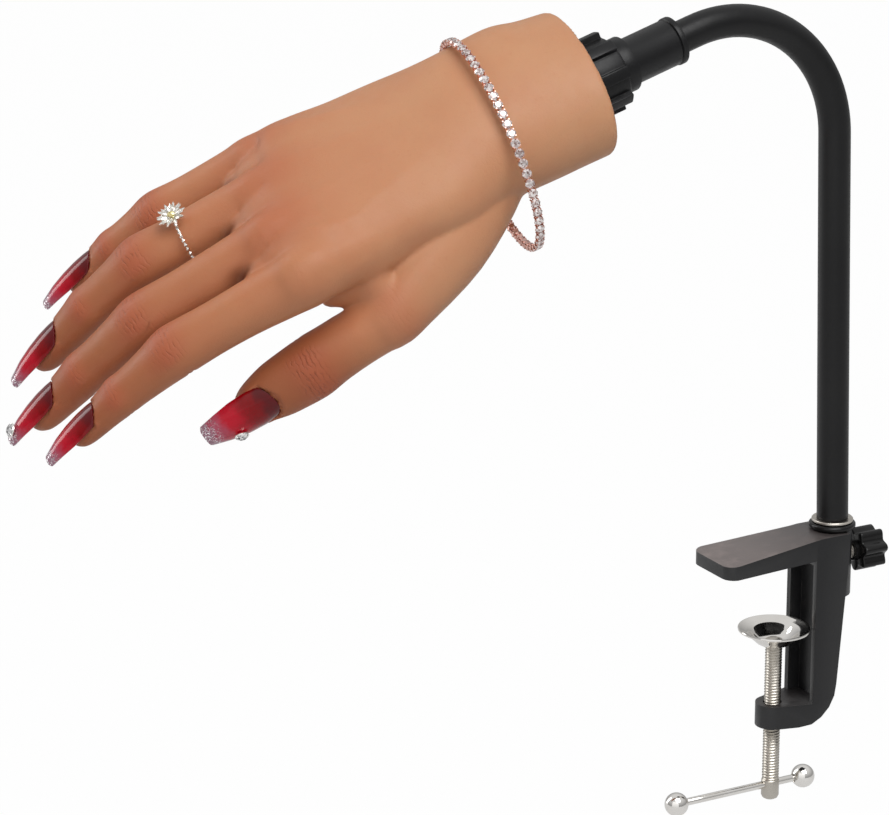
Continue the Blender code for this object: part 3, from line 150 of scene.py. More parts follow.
def spun(bm, profile, place, steps=72, closed=False):
    # A profile of (radius, height) turned about the place's Z
    points = [bm.verts.new((radius * mm, 0, height * mm)) for radius, height in profile]
    edges = [bm.edges.new(pair) for pair in zip(points, points[1:])]
    if closed:
        edges.append(bm.edges.new((points[-1], points[0])))
    before = set(bm.verts) - set(points)
    bmesh.ops.spin(bm, geom=points + edges, cent=(0, 0, 0), axis=(0, 0, 1), dvec=(0, 0, 0),
                   angle=2 * math.pi, steps=steps, use_merge=True)
    fresh = [vert for vert in bm.verts if vert not in before]
    bmesh.ops.remove_doubles(bm, verts=fresh, dist=1e-6)
    fresh = [vert for vert in bm.verts if vert not in before]
    bmesh.ops.transform(bm, matrix=place, verts=fresh)
    return fresh


def cone(bm, sides, low, high, depth, place):
    return bmesh.ops.create_cone(bm, cap_ends=True, segments=sides, radius1=low * mm, radius2=high * mm,
                                 depth=depth * mm, matrix=place)["verts"]


def soften(bm, width, segments=2, angle=28):
    sharp = [edge for edge in bm.edges
             if len(edge.link_faces) == 2 and edge.calc_face_angle(0) > math.radians(angle)]
    bmesh.ops.bevel(bm, geom=sharp, offset=width * mm, offset_type="OFFSET", segments=segments,
                    profile=0.5, affect="EDGES", clamp_overlap=True, material=-1)


def cutKeep(bm, point, outward):
    # Cuts away what lies on the outward side of a plane and closes the cut
    geometry = bm.verts[:] + bm.edges[:] + bm.faces[:]
    made = bmesh.ops.bisect_plane(bm, geom=geometry, dist=1e-7, plane_co=point, plane_no=outward,
                                  clear_outer=True, clear_inner=False)
    rim = [item for item in made["geom_cut"] if isinstance(item, bmesh.types.BMEdge) and item.is_boundary]
    if not rim:
        return []
    faces = bmesh.ops.holes_fill(bm, edges=rim, sides=0)["faces"]
    return bmesh.ops.triangulate(bm, faces=faces)["faces"] if faces else []


def addPiece(name, mesh, material, body=None, nodes=()):
    mesh.materials.clear()
    mesh.materials.append(material)
    piece = bpy.data.objects.new(name, mesh)
    bpy.context.scene.collection.objects.link(piece)
    if body:
        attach(piece, body)
    if nodes:
        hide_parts(*nodes)
    return piece


def finishPiece(name, bm, material, body=None, nodes=(), smooth=32, turnOut=True):
    if turnOut:
        bmesh.ops.recalc_face_normals(bm, faces=bm.faces)
    mesh = bpy.data.meshes.new(name)
    bm.to_mesh(mesh)
    bm.free()
    mesh.shade_smooth()
    mesh.set_sharp_from_angle(angle=math.radians(smooth))
    return addPiece(name, mesh, material, body, nodes)


# Finishes

def newFinish(name):
    material = bpy.data.materials.new(name)
    material.use_nodes = True
    tree = material.node_tree
    return material, tree, tree.nodes["Principled BSDF"]


def node(tree, kind, inputs=None, **settings):
    made = tree.nodes.new(kind)
    for name, value in settings.items():
        setattr(made, name, value)
    for name, value in (inputs or {}).items():
        if isinstance(value, bpy.types.NodeSocket):
            tree.links.new(value, made.inputs[name])
        else:
            made.inputs[name].default_value = value
    return made


def objectPoint(tree, scale=(1, 1, 1), angle=(0, 0, 0)):
    coords = node(tree, "ShaderNodeTexCoord")
    turned = tuple(math.radians(value) for value in angle)
    return node(tree, "ShaderNodeMapping", {
        "Vector": coords.outputs["Object"], "Scale": scale, "Rotation": turned}).outputs["Vector"]


def noiseValue(tree, point, scale, detail=3.0, rough=0.5):
    return node(tree, "ShaderNodeTexNoise", {
        "Vector": point, "Scale": scale, "Detail": detail, "Roughness": rough}).outputs["Fac"]


def ramp(tree, value, stops, smooth=False):
    made = node(tree, "ShaderNodeValToRGB", {"Fac": value})
    made.color_ramp.interpolation = "EASE" if smooth else "LINEAR"
    for index, (place, colour) in enumerate(stops):
        if index < 2:
            stop = made.color_ramp.elements[index]
            stop.position = place
        else:
            stop = made.color_ramp.elements.new(place)
        stop.color = (*colour, 1)
    return made.outputs["Color"]


def span(tree, value, low, high, lowOut=0.0, highOut=1.0):
    return node(tree, "ShaderNodeMapRange", {
        "Value": value, "From Min": low, "From Max": high,
        "To Min": lowOut, "To Max": highOut}).outputs["Result"]


def maths(tree, operation, first, second=0.0):
    made = node(tree, "ShaderNodeMath", operation=operation)
    for index, value in enumerate((first, second)):
        if isinstance(value, bpy.types.NodeSocket):
            tree.links.new(value, made.inputs[index])
        else:
            made.inputs[index].default_value = value
    return made.outputs["Value"]


def mixColour(tree, share, first, second, blend="MIX"):
    made = node(tree, "ShaderNodeMix", data_type="RGBA", blend_type=blend)
    for index, value in ((0, share), (6, first), (7, second)):
        if isinstance(value, bpy.types.NodeSocket):
            tree.links.new(value, made.inputs[index])
        elif index:
            made.inputs[index].default_value = (*value, 1)
        else:
            made.inputs[index].default_value = value
    return made.outputs[2]


def attributeValue(tree, name):
    return node(tree, "ShaderNodeAttribute", attribute_name=name).outputs["Fac"]


def bump(tree, shader, height, distance, strength=1.0, below=None):
    made = node(tree, "ShaderNodeBump", {"Height": height, "Distance": distance * mm, "Strength": strength})
    if below is not None:
        tree.links.new(below.outputs["Normal"], made.inputs["Normal"])
    tree.links.new(made.outputs["Normal"], shader.inputs["Normal"])
    return made


def join(tree, output, shader, name):
    tree.links.new(output, shader.inputs[name])


# The last two colours are painted shade: the first for the wrinkle grooves, the second for the deep ends of
# the webs
skinFinish = {"wrist": (0.585, 0.300, 0.162), "back": (0.585, 0.282, 0.150), "finger": (0.54, 0.222, 0.108),
              "tip": (0.40, 0.132, 0.056), "flush": (0.46, 0.120, 0.058), "foldShade": (0.28, 0.080, 0.042),
              "shadedPit": (0.12, 0.032, 0.016)}


def makeSkinFinish():
    values = skinFinish
    material, tree, shader = newFinish("Tan silicone")
    point = objectPoint(tree)
    tone = ramp(tree, attributeValue(tree, "tone"), [
        (0.0, values["wrist"]), (1.0, values["tip"]), (0.35, values["back"]), (0.68, values["finger"])])
    blotch = span(tree, noiseValue(tree, point, 55.0, 4.0), 0.35, 0.7)
    tone = mixColour(tree, maths(tree, "MULTIPLY", blotch, 0.16), tone, values["flush"])
    flushed = mixColour(tree, attributeValue(tree, "flush"), tone, values["flush"])
    speck = span(tree, noiseValue(tree, point, 900.0, 2.0), 0.58, 0.8, 0.0, 0.12)
    flushed = mixColour(tree, speck, flushed, values["flush"])
    along = attributeValue(tree, "creaseAlong")
    mask = attributeValue(tree, "crease")
    waver = maths(tree, "MULTIPLY", noiseValue(tree, point, 380.0, 4.0, 0.6), 11.0)
    wave = maths(tree, "SINE", maths(tree, "ADD", maths(tree, "MULTIPLY", along, 4.4), waver))
    broken = maths(tree, "MULTIPLY", mask, span(tree, noiseValue(tree, point, 330.0, 2.0), 0.38, 0.62))
    groove = maths(tree, "MULTIPLY", maths(tree, "POWER", span(tree, wave, 0.0, 1.0), 2.0), broken)
    # Painted shade: the wrinkle grooves are darkened towards a shade colour
    darker = mixColour(tree, maths(tree, "MULTIPLY", groove, 0.24), flushed, values["foldShade"])
    # Painted shade at the deep ends of the webs, from the attribute that shapeSkin writes there
    deep = maths(tree, "MULTIPLY", attributeValue(tree, "foldShade"), 0.8)
    darker = mixColour(tree, deep, darker, values["shadedPit"])
    join(tree, darker, shader, "Base Color")
    join(tree, span(tree, noiseValue(tree, point, 260.0), 0.3, 0.7, 0.40, 0.54), shader, "Roughness")
    shader.inputs["Specular IOR Level"].default_value = 0.26
    shader.inputs["Subsurface Weight"].default_value = 0.12
    shader.inputs["Subsurface Radius"].default_value = (1.0, 0.35, 0.18)
    shader.inputs["Subsurface Scale"].default_value = 0.004
    cells = node(tree, "ShaderNodeTexVoronoi", {"Vector": point, "Scale": 900.0}, feature="DISTANCE_TO_EDGE")
    pores = span(tree, cells.outputs["Distance"], 0.0, 0.16)
    fine = bump(tree, shader, pores, 0.045, 0.4)
    soft = bump(tree, shader, noiseValue(tree, point, 210.0, 5.0, 0.6), 0.2, 0.5, fine)
    bump(tree, shader, maths(tree, "SUBTRACT", 1.0, groove), 0.20, 1.0, soft)
    return material


nailFinish = {"root": (0.120, 0.006, 0.008), "body": (0.25, 0.002, 0.004), "bright": (0.58, 0.006, 0.024),
              "veil": (0.50, 0.09, 0.14), "tip": (0.40, 0.22, 0.28)}


def makeNailFinish():
    values = nailFinish
    material, tree, shader = newFinish("Red nail gel")
    point = objectPoint(tree)
    waver = span(tree, noiseValue(tree, point, 320.0, 3.0), 0.3, 0.7, -0.045, 0.045)
    along = maths(tree, "ADD", attributeValue(tree, "nailAlong"), waver)
    stops = [(0.0, values["root"]), (1.0, values["tip"]), (0.10, values["root"]), (0.28, values["body"]),
             (0.60, values["bright"]), (0.82, values["veil"]), (0.92, values["tip"])]
    colour = ramp(tree, along, stops, True)
    cells = node(tree, "ShaderNodeTexVoronoi", {"Vector": point, "Scale": 3600.0})
    spark = node(tree, "ShaderNodeSeparateColor", {"Color": cells.outputs["Color"]}).outputs["Red"]
    glitter = maths(tree, "MULTIPLY", span(tree, spark, 0.80, 0.86), span(tree, along, 0.78, 0.90))
    colour = mixColour(tree, glitter, colour, (0.95, 0.93, 0.95))
    join(tree, colour, shader, "Base Color")
    join(tree, maths(tree, "MULTIPLY", glitter, 0.85), shader, "Metallic")
    join(tree, span(tree, glitter, 0.0, 1.0, 0.10, 0.3), shader, "Roughness")
    shader.inputs["Specular IOR Level"].default_value = 0.08
    shader.inputs["Coat Weight"].default_value = 1.0
    shader.inputs["Coat Roughness"].default_value = 0.07
    shader.inputs["Coat IOR"].default_value = 1.27
    tilt = node(tree, "ShaderNodeSeparateColor", {"Color": cells.outputs["Color"]}).outputs["Green"]
    bump(tree, shader, maths(tree, "MULTIPLY", tilt, glitter), 0.12, 0.6)
    return material


def makeMetalFinish(name, colour, roughness, scale=900.0, streak=(1, 1, 1), depth=0.02, dull=None):
    material, tree, shader = newFinish(name)
    point = objectPoint(tree, streak)
    grain = noiseValue(tree, point, scale, 4.0)
    wear = span(tree, noiseValue(tree, objectPoint(tree), 70.0, 5.0), 0.42, 0.72)
    darker = dull or tuple(value * 0.8 for value in colour)
    join(tree, mixColour(tree, maths(tree, "MULTIPLY", wear, 0.5), colour, darker), shader, "Base Color")
    shader.inputs["Metallic"].default_value = 1.0
    join(tree, span(tree, grain, 0.3, 0.7, roughness * 0.75, roughness * 1.35), shader, "Roughness")
    bump(tree, shader, grain, depth, 0.5)
    return material


def makePlasticFinish(name, colour, roughness, scale, depth, lighter, streak=(1, 1, 1)):
    material, tree, shader = newFinish(name)
    grain = noiseValue(tree, objectPoint(tree, streak), scale, 4.0)
    patch = span(tree, noiseValue(tree, objectPoint(tree), 45.0, 4.0), 0.35, 0.75)
    join(tree, mixColour(tree, patch, colour, lighter), shader, "Base Color")
    join(tree, span(tree, grain, 0.3, 0.7, roughness * 0.85, roughness * 1.2), shader, "Roughness")
    shader.inputs["Specular IOR Level"].default_value = 0.28
    bump(tree, shader, grain, depth, 0.5)
    return material


def makePaintFinish():
    material, tree, shader = newFinish("Clamp paint")
    point = objectPoint(tree)
    orange = noiseValue(tree, point, 700.0, 3.0)
    # Noise that varies the roughness and the strength of the painted sheen below
    dustAndSheen = span(tree, noiseValue(tree, point, 95.0, 6.0, 0.65), 0.48, 0.75)
    normal = node(tree, "ShaderNodeNewGeometry")
    facing = node(tree, "ShaderNodeSeparateXYZ", {"Vector": normal.outputs["Normal"]}).outputs["Z"]
    # Painted sheen: the jaw's faces turned upwards are lightened towards brown-grey, as if lit from above
    upper = span(tree, facing, 0.4, 0.98)
    spot = node(tree, "ShaderNodeSeparateXYZ", {"Vector": point})
    jaw = maths(tree, "MULTIPLY", span(tree, spot.outputs["Z"], -0.012, 0.0, 0.2, 1.0),
                span(tree, spot.outputs["X"], -0.012, 0.016, 1.0, 0.3))
    sheen = maths(tree, "MULTIPLY", upper, span(tree, dustAndSheen, 0.0, 1.0, 0.6, 1.0))
    sheen = maths(tree, "MULTIPLY", sheen, jaw)
    colour = mixColour(tree, sheen, (0.006, 0.006, 0.007), (0.27, 0.227, 0.216))
    edge = span(tree, normal.outputs["Pointiness"], 0.53, 0.62)
    colour = mixColour(tree, maths(tree, "MULTIPLY", edge, 0.35), colour, (0.13, 0.13, 0.13))
    join(tree, colour, shader, "Base Color")
    join(tree, span(tree, dustAndSheen, 0.0, 1.0, 0.34, 0.5), shader, "Roughness")
    bump(tree, shader, orange, 0.05, 0.6)
    return material


def makeStoneFinish(name, colour, shadedFacet, scale, roughness=0.03, metallic=0.6):
    # Cut stones: random cells are painted light, grey and clear, a painted reflection standing in for what the
    # facets mirror
    material, tree, shader = newFinish(name)
    cells = node(tree, "ShaderNodeTexVoronoi", {"Vector": objectPoint(tree), "Scale": scale})
    shade = node(tree, "ShaderNodeSeparateColor", {"Color": cells.outputs["Color"]}).outputs["Blue"]
    # Painted reflection: each cell is mixed from the lit colour to the dark one
    join(tree, mixColour(tree, span(tree, shade, 0.35, 0.9), colour, shadedFacet), shader, "Base Color")
    shader.inputs["Metallic"].default_value = metallic
    shader.inputs["Roughness"].default_value = roughness
    shader.inputs["IOR"].default_value = 2.2
    shader.inputs["Coat Weight"].default_value = 0.6
    return material


finishes = {
    "skin": makeSkinFinish(),
    "nail": makeNailFinish(),
    "paint": makePaintFinish(),
    "sleeve": makePlasticFinish(
        "Arm sleeve", (0.006, 0.006, 0.0065), 0.36, 900.0, 0.03, (0.010, 0.010, 0.0105)),
    "plastic": makePlasticFinish(
        "Black plastic", (0.005, 0.005, 0.0055), 0.36, 1500.0, 0.02, (0.010, 0.010, 0.011)),
    "gloss": makePlasticFinish(
        "Gloss black", (0.005, 0.005, 0.005), 0.16, 600.0, 0.01, (0.008, 0.008, 0.008)),
    "screw": makeMetalFinish(
        "Screw nickel", (0.56, 0.53, 0.48), 0.32, 500.0, (1, 1, 6), 0.008, (0.44, 0.40, 0.34)),
    "chrome": makeMetalFinish(
        "Bright chrome", (0.84, 0.82, 0.79), 0.07, 700.0, (1, 1, 1), 0.004, (0.68, 0.65, 0.60)),
    "brass": makeMetalFinish("Pad brass", (0.72, 0.55, 0.28), 0.32),
    "rose": makeMetalFinish("Rose gold", (0.78, 0.47, 0.40), 0.18),
    "silver": makeMetalFinish("Ring silver", (0.86, 0.84, 0.79), 0.14),
    "steel": makeMetalFinish("Armature steel", (0.50, 0.50, 0.51), 0.38),
    "crystal": makeStoneFinish("Clear crystal", (0.94, 0.92, 0.92), (0.07, 0.06, 0.06), 1500.0),
    "blush": makeStoneFinish("Blush crystal", (0.95, 0.88, 0.86), (0.30, 0.17, 0.15), 1900.0),
    "petal": makeStoneFinish("Petal crystal", (0.95, 0.93, 0.88), (0.55, 0.50, 0.42), 1900.0),
    "citrine": makeStoneFinish("Yellow crystal", (0.90, 0.78, 0.36), (0.45, 0.34, 0.10), 1900.0),
}
print("finishes made:", len(finishes))


# The hand's own frame: +X towards the finger tips, +Y towards the thumb, +Z out of its back

wristEnd = jointPoint("hand_roll")
armWay = (wristEnd - jointPoint("collar_turn")).normalized()
connectorTurn = Vector((0, 0, 1)).rotation_difference(armWay).to_matrix().to_4x4()
handBase = Matrix(((0, 0, 1, 0), (0, -1, 0, 0), (1, 0, 0, 0), (0, 0, 0, 1)))
handTurn = turn("Z", -6.0) @ turn("Y", 1.5) @ turn("X", -22.5)
handFrame = Matrix.Translation(wristEnd) @ connectorTurn @ handBase @ handTurn
intoHand = handFrame.inverted()
connectorFrame = Matrix.Translation(wristEnd) @ connectorTurn

digits = {
    "index": {"breadth": 17.3, "labels": ("proximal", "middle", "distal"), "tipLength": 21.2, "tipBend": 3.8,
              "slim": ((0.1, 0.3, 0.6, 1.0, 1.6, 2.2), (0.0, 0.45, 0.5, 0.3, 0.5, 1.0)),
              "pulp": 1.04, "overhang": 9.7},
    "middle": {"breadth": 17.6, "labels": ("proximal", "middle", "distal"), "tipLength": 22.6, "tipBend": 4.6,
               "slim": ((0.0, 3.0), (0.0, 0.3)), "pulp": 1.11, "overhang": 10.2},
    "ring": {"breadth": 17.2, "labels": ("proximal", "middle", "distal"), "tipLength": 24.4, "tipBend": 7.8,
             "slim": ((0.0, 3.0), (0.0, 0.1)), "pulp": 1.12, "overhang": 10.9},
    "little": {"breadth": 15.6, "labels": ("proximal", "middle", "distal"), "tipLength": 19.8, "tipBend": 5.4,
               "slim": ((0.0, 3.0), (0.0, 0.1)), "pulp": 1.04, "overhang": 10.3},
    "thumb": {"breadth": 20.0, "labels": ("proximal", "distal"), "tipLength": 27.6, "tipBend": 8.6,
              "slim": ((0.0, 0.3, 0.7, 0.95), (1.2, 1.2, 0.9, 0.0)), "pulp": 1.0, "overhang": 11.6},
}
# Bone, place along it, half breadth, half depth and how far the middle lies below the bone's line,
# the last three as shares of the digit's breadth
fingerStations = (
    (0, 0.0, 0.500, 0.560, 0.0), (0, 0.2, 0.500, 0.525, 0.0), (0, 0.45, 0.487, 0.487, 0.0),
    (0, 0.7, 0.483, 0.458, 0.0), (0, 0.93, 0.507, 0.456, 0.0), (1, 0.1, 0.503, 0.444, 0.0),
    (1, 0.4, 0.462, 0.406, 0.0), (1, 0.75, 0.434, 0.376, 0.0), (2, 0.02, 0.438, 0.372, 0.0),
    (2, 0.3, 0.410, 0.345, 0.0), (2, 0.55, 0.382, 0.320, 0.0), (2, 0.72, 0.354, 0.298, 0.004),
    (2, 0.86, 0.302, 0.254, 0.012), (2, 0.95, 0.198, 0.172, 0.022), (2, 0.985, 0.110, 0.096, 0.028),
    (2, 0.999, 0.02, 0.02, 0.034))
thumbStations = (
    (0, 0.0, 0.525, 0.485, 0.0), (0, 0.25, 0.490, 0.458, 0.0), (0, 0.5, 0.462, 0.432, 0.0),
    (0, 0.75, 0.460, 0.415, 0.0), (0, 0.96, 0.486, 0.410, 0.0), (1, 0.12, 0.494, 0.398, 0.0),
    (1, 0.3, 0.484, 0.372, 0.0), (1, 0.5, 0.455, 0.345, 0.0), (1, 0.72, 0.372, 0.309, 0.004),
    (1, 0.86, 0.292, 0.266, 0.012), (1, 0.95, 0.200, 0.180, 0.022), (1, 0.985, 0.122, 0.100, 0.028),
    (1, 0.999, 0.02, 0.02, 0.034))


nailForm = {"bed": 13.5, "thickness": 0.9, "halfAngle": 62.0, "sag": 0.52, "cuticle": 0.12,
            "finger": (12.0, 0.35), "thumb": (-2.0, -0.3)}


def readDigits():
    for name, digit in digits.items():
        points = [jointPoint("%s_%s_bend" % (name, label)) for label in digit["labels"]]
        side = -1 if name == "thumb" else 1
        across = [jointAxis("%s_%s_bend" % (name, label)) * side for label in digit["labels"]]
        ways = [(second - first).normalized() for first, second in zip(points, points[1:])]
        ways.append(Matrix.Rotation(math.radians(digit["tipBend"]), 3, across[-1]) @ ways[-1])
        digit["places"] = [frameAt(point, way, way.cross(y)) for point, way, y in zip(points, ways, across)]
        digit["lengths"] = [(second - first).length / mm for first, second in zip(points, points[1:])]
        digit["lengths"].append(digit["tipLength"])
        digit["knuckle"] = intoHand @ points[0]
        digit["slimShares"] = (0.5, 0.0, 0.5, 0.0) if name == "thumb" else (-0.5, 0.8, 0.7, 1.0)
        roll, aside = nailForm["thumb" if name == "thumb" else "finger"]
        digit["nailPlace"] = digit["places"][-1] @ shift(y=aside) @ turn("X", roll)


readDigits()
fingerNames = ["index", "middle", "ring", "little"]


def digitRings(name):
    digit = digits[name]
    breadth = digit["breadth"] * mm
    thumb = name == "thumb"
    knuckle = digit["places"][0]
    knuckleUp = knuckle.col[2].xyz
    if thumb:
        root = handFrame @ (Vector((38.7, 13.5, -7.7)) * mm)
        starts = ((-0.14, 0.26, 0.26), (0.0, 0.52, 0.53), (0.5, 0.68, 0.65))
    else:
        root = handFrame @ Vector((59.2 * mm, digit["knuckle"].y * 0.78, -3.6 * mm))
        starts = ((0.0, 0.42, 0.46), (0.55, 0.45, 0.52))
    rows = []
    for share, wide, deep in starts:
        point = root.lerp(knuckle.translation, share)
        rows.append((*point, *knuckleUp, wide * breadth, deep * breadth))
    for bone, share, wide, deep, drop in thumbStations if thumb else fingerStations:
        place = digit["places"][bone]
        # Slimming takes off the side that faces away from the back of the hand
        slim = float(np.interp(bone + share, *digit["slim"])) * mm
        last = bone == len(digit["places"]) - 1
        longer = (digit["pulp"] - 1) * float(np.interp(share, (0.5, 1.0), (0, 1)))
        reach = share * (1 + longer) if last else share
        aside, lift, narrower, flatter = digit["slimShares"]
        along = digit["lengths"][bone] * reach * mm
        point = place @ Vector((along, slim * aside, slim * lift - drop * breadth))
        half = (wide * breadth - slim * narrower, deep * breadth - slim * flatter)
        rows.append((*point, *place.col[2].xyz, *half))
    table = smoothRows(rows, 4)
    return tubeRings(table[:, 0:3], table[:, 3:6], table[:, 6], table[:, 7], 28, 0.95)


# Palm: place along it, share of the knuckle row's breadth, half breadth, half depth, fullness, swelling
palmStations = (
    (0.0, 0.0, 1.0, 1.0, 1.0, 0.42), (0.09, 0.0, 0.98, 0.985, 1.0, 0.80),
    (0.18, 0.0, 0.96, 0.97, 1.0, 1.32), (0.36, 0.10, 0.955, 0.99, 0.98, 0.9),
    (0.52, 0.62, 0.975, 1.0, 0.86, 0.1), (0.70, 0.93, 0.905, 0.98, 0.76, 0.0),
    (0.86, 1.0, 0.935, 0.92, 0.72, 0.0), (0.945, 1.0, 0.93, 0.78, 0.72, 0.0))
palm = {"length": 107.6, "wristBreadth": 52.0, "wristDepth": 38.5, "depth": 29.0, "drop": 3.0,
        "recessRadius": 16.3, "recessDepth": 5.3, "swell": 4.4, "swellUnder": 1.1, "swellAngle": 139.0,
        "endSlant": (0.5, 1.8, 0.14)}


def knuckleLine(y):
    row = [digits[name]["knuckle"] for name in fingerNames]
    return float(np.interp(-y, [-point.y for point in row], [point.x for point in row]))


def palmRings(sides=56):
    first, last = digits["index"]["knuckle"], digits["little"]["knuckle"]
    rowHalf = (first.y - last.y) / 2 + digits["index"]["breadth"] * mm / 2
    rowMiddle = (first.y + last.y) / 2
    squareTurn = handTurn.inverted() @ turn("X", -22.5)
    swellAngle = math.radians(palm["swellAngle"])
    swellSide = Vector((math.cos(swellAngle), math.sin(swellAngle)))
    rings = []
    for place, blend, wide, deep, fullness, swell in smoothRows(palmStations, 5):
        halfBreadth = (palm["wristBreadth"] * mm / 2 * (1 - blend) + rowHalf * blend) * wide
        halfDepth = (palm["wristDepth"] * (1 - blend) + palm["depth"] * blend) * mm / 2 * deep
        ring = []
        for side in range(sides):
            angle = 2 * math.pi * side / sides
            y = math.copysign(abs(math.cos(angle)) ** fullness, math.cos(angle)) * halfBreadth
            z = math.copysign(abs(math.sin(angle)) ** fullness, math.sin(angle)) * halfDepth
            facing = Vector((y / halfBreadth, z / halfDepth)).normalized().dot(swellSide)
            size = palm["swell"] if facing > 0 else -palm["swellUnder"]
            moved = swellSide * size * mm * max(0, swell) * facing ** 2
            y, z = y + moved.x, z + moved.y
            across = y + rowMiddle * blend
            along = (palm["length"] * mm * (1 - blend) + knuckleLine(across) * blend) * place
            along += z * 0.5 * blend
            back, slant, fade = palm["endSlant"]
            along -= (back + slant * facing) * mm * max(0, 1 - place / fade)
            ring.append(handFrame @ Vector((along, across, z - palm["drop"] * mm * blend)))
        rings.append(ring)
    middle = sum(rings[-1], Vector()) / sides
    for share in (0.86, 0.4):
        rings.append([middle.lerp(point, share) for point in rings[-1]])
    # The cut end has a soft rim and a recess for the wrist insert
    lead = []
    radius = palm["recessRadius"] * mm
    for square, depth in ((squareTurn, palm["recessDepth"]), (Matrix(), 0.0)):
        circle = []
        for side in range(sides):
            angle = 2 * math.pi * side / sides
            spot = Vector((0, radius * math.cos(angle), radius * math.sin(angle)))
            circle.append(handFrame @ (square @ spot) + armWay * depth * mm)
        lead.append(circle)
    lead.append([wristEnd.lerp(point, 0.955) for point in rings[0]])
    rings[0] = [point + handFrame.col[0].xyz * 1.2 * mm for point in rings[0]]
    return lead + rings


# Webs between the digits, in lumps: how far past the knuckles, aside, length, breadth, depth and drop
webs = {
    ("index", "middle"): ((-3.0, 0.0, 18.0, 9.0, 9.8, 0.5), (9.0, 0.0, 11.5, 9.0, 8.8, 2.0)),
    ("middle", "ring"): ((-4.0, 0.0, 17.0, 9.0, 9.8, 0.4), (7.0, 0.0, 11.0, 9.0, 8.4, 2.0)),
    ("ring", "little"): ((-4.5, 0.0, 16.0, 8.5, 9.4, 0.4), (5.5, 0.0, 9.5, 8.0, 7.8, 1.8)),
    ("index", "thumb"): ((-1.0, -3.0, 12.0, 5.4, 6.5, 5.0), (-6.0, 0.0, 7.0, 7.0, 6.0, 5.0)),
}


def placeBetween(first, second):
    a, b = digits[first]["places"][0], digits[second]["places"][0]
    return frameAt((a.translation + b.translation) / 2, a.col[0].xyz + b.col[0].xyz,
                   a.col[2].xyz + b.col[2].xyz)


def addWebs(bm):
    for (first, second), lumps in webs.items():
        place = placeBetween(first, second)
        for past, aside, length, breadth, depth, drop in lumps:
            size = Matrix.Diagonal((length * mm, breadth * mm, depth * mm, 1))
            bmesh.ops.create_uvsphere(bm, u_segments=24, v_segments=16, radius=1.0,
                                      matrix=place @ shift(past, aside, -drop) @ size)


skinForm = {"voxel": 0.65, "smoothing": 10, "strength": 0.5}


def remeshSkin():
    bm = bmesh.new()
    bridgeRings(bm, palmRings())
    for name in digits:
        bridgeRings(bm, digitRings(name))
    addWebs(bm)
    bmesh.ops.recalc_face_normals(bm, faces=bm.faces)
    mesh = bpy.data.meshes.new("handForm")
    bm.to_mesh(mesh)
    bm.free()
    form = bpy.data.objects.new("handForm", mesh)
    bpy.context.scene.collection.objects.link(form)
    voxels = form.modifiers.new("Voxels", "REMESH")
    voxels.mode = "VOXEL"
    voxels.voxel_size = skinForm["voxel"] * mm
    voxels.adaptivity = 0.0
    relax = form.modifiers.new("Relax", "SMOOTH")
    relax.factor = skinForm["strength"]
    relax.iterations = skinForm["smoothing"]
    graph = bpy.context.evaluated_depsgraph_get()
    made = bpy.data.meshes.new_from_object(form.evaluated_get(graph))
    bpy.data.objects.remove(form, do_unlink=True)
    return made


# Where the skin is smoothed once more: over the knuckle row and in the web beside the thumb
calmZones = {"along": (76.0, 86.0, 108.0, 116.0), "up": (-2.0, 4.0), "web": (9.0, 15.0),
             "passes": ((0.2, 12), (0.5, 12), (0.8, 20))}


def readVectors(items, field):
    data = np.zeros(len(items) * 3)
    items.foreach_get(field, data)
    return data.reshape(-1, 3)


def calmSkin(mesh):
    values = calmZones
    points = readVectors(mesh.vertices, "co")
    inHand = localPoints(points, handFrame) / mm
    low, full, fade, end = values["along"]
    weight = softStep(inHand[:, 0], low, full) * (1 - softStep(inHand[:, 0], fade, end))
    weight *= softStep(inHand[:, 2], *values["up"])
    web = (digits["index"]["places"][0].translation + digits["thumb"]["places"][0].translation) / 2
    away = np.linalg.norm(points - np.array(web), axis=1) / mm
    weight = np.maximum(weight, 1 - softStep(away, *values["web"]))
    bm = bmesh.new()
    bm.from_mesh(mesh)
    bm.verts.ensure_lookup_table()
    for least, times in values["passes"]:
        chosen = [bm.verts[int(index)] for index in np.flatnonzero(weight > least)]
        for _ in range(times):
            bmesh.ops.smooth_vert(bm, verts=chosen, factor=0.5, use_axis_x=True, use_axis_y=True,
                                  use_axis_z=True)
    bm.to_mesh(mesh)
    bm.free()


def localPoints(points, place):
    table = np.array(place.inverted(), float)
    return points @ table[:3, :3].T + table[:3, 3]


def softStep(value, low, high):
    t = np.clip((value - low) / (high - low), 0, 1)
    return t * t * (3 - 2 * t)


nailPlaces = (0.0, 0.06, 0.12, 0.3, 0.52, 0.75, 1.0)
nailBreadths = (0.74, 0.81, 0.85, 0.92, 0.88, 0.72, 0.47)
nailHeights = (1.04, 1.07, 1.10, 1.12, 1.06, 0.92, 0.62)
# Half the nail's breadth and its height over the bone, as shares of the digit's breadth
tipShares = {"finger": (0.332, 0.275), "thumb": (0.322, 0.265)}
tipSizes = {name: [digit["breadth"] * share for share in tipShares["thumb" if name == "thumb" else "finger"]]
            for name, digit in digits.items()}


def nailSurface(name, place, across, lift=0.0):
    # A point of the nail in its bone's frame, in millimetres: place runs 0 to 1 along it, across -1 to 1
    wide = np.interp(place, nailPlaces, nailBreadths) * tipSizes[name][0]
    over = np.interp(place, nailPlaces, nailHeights) * tipSizes[name][1]
    edge = math.radians(nailForm["halfAngle"])
    angle = across * edge
    sag = wide * nailForm["sag"] * (1 - np.cos(angle)) / (1 - math.cos(edge))
    length = nailForm["bed"] + digits[name]["overhang"]
    start = digits[name]["lengths"][-1] - nailForm["bed"]
    return start + length * place, wide * np.sin(angle) / math.sin(edge), over - sag + lift


webPits = {("index", "middle"): 17.5, ("middle", "ring"): 15.0, ("ring", "little"): 12.5}


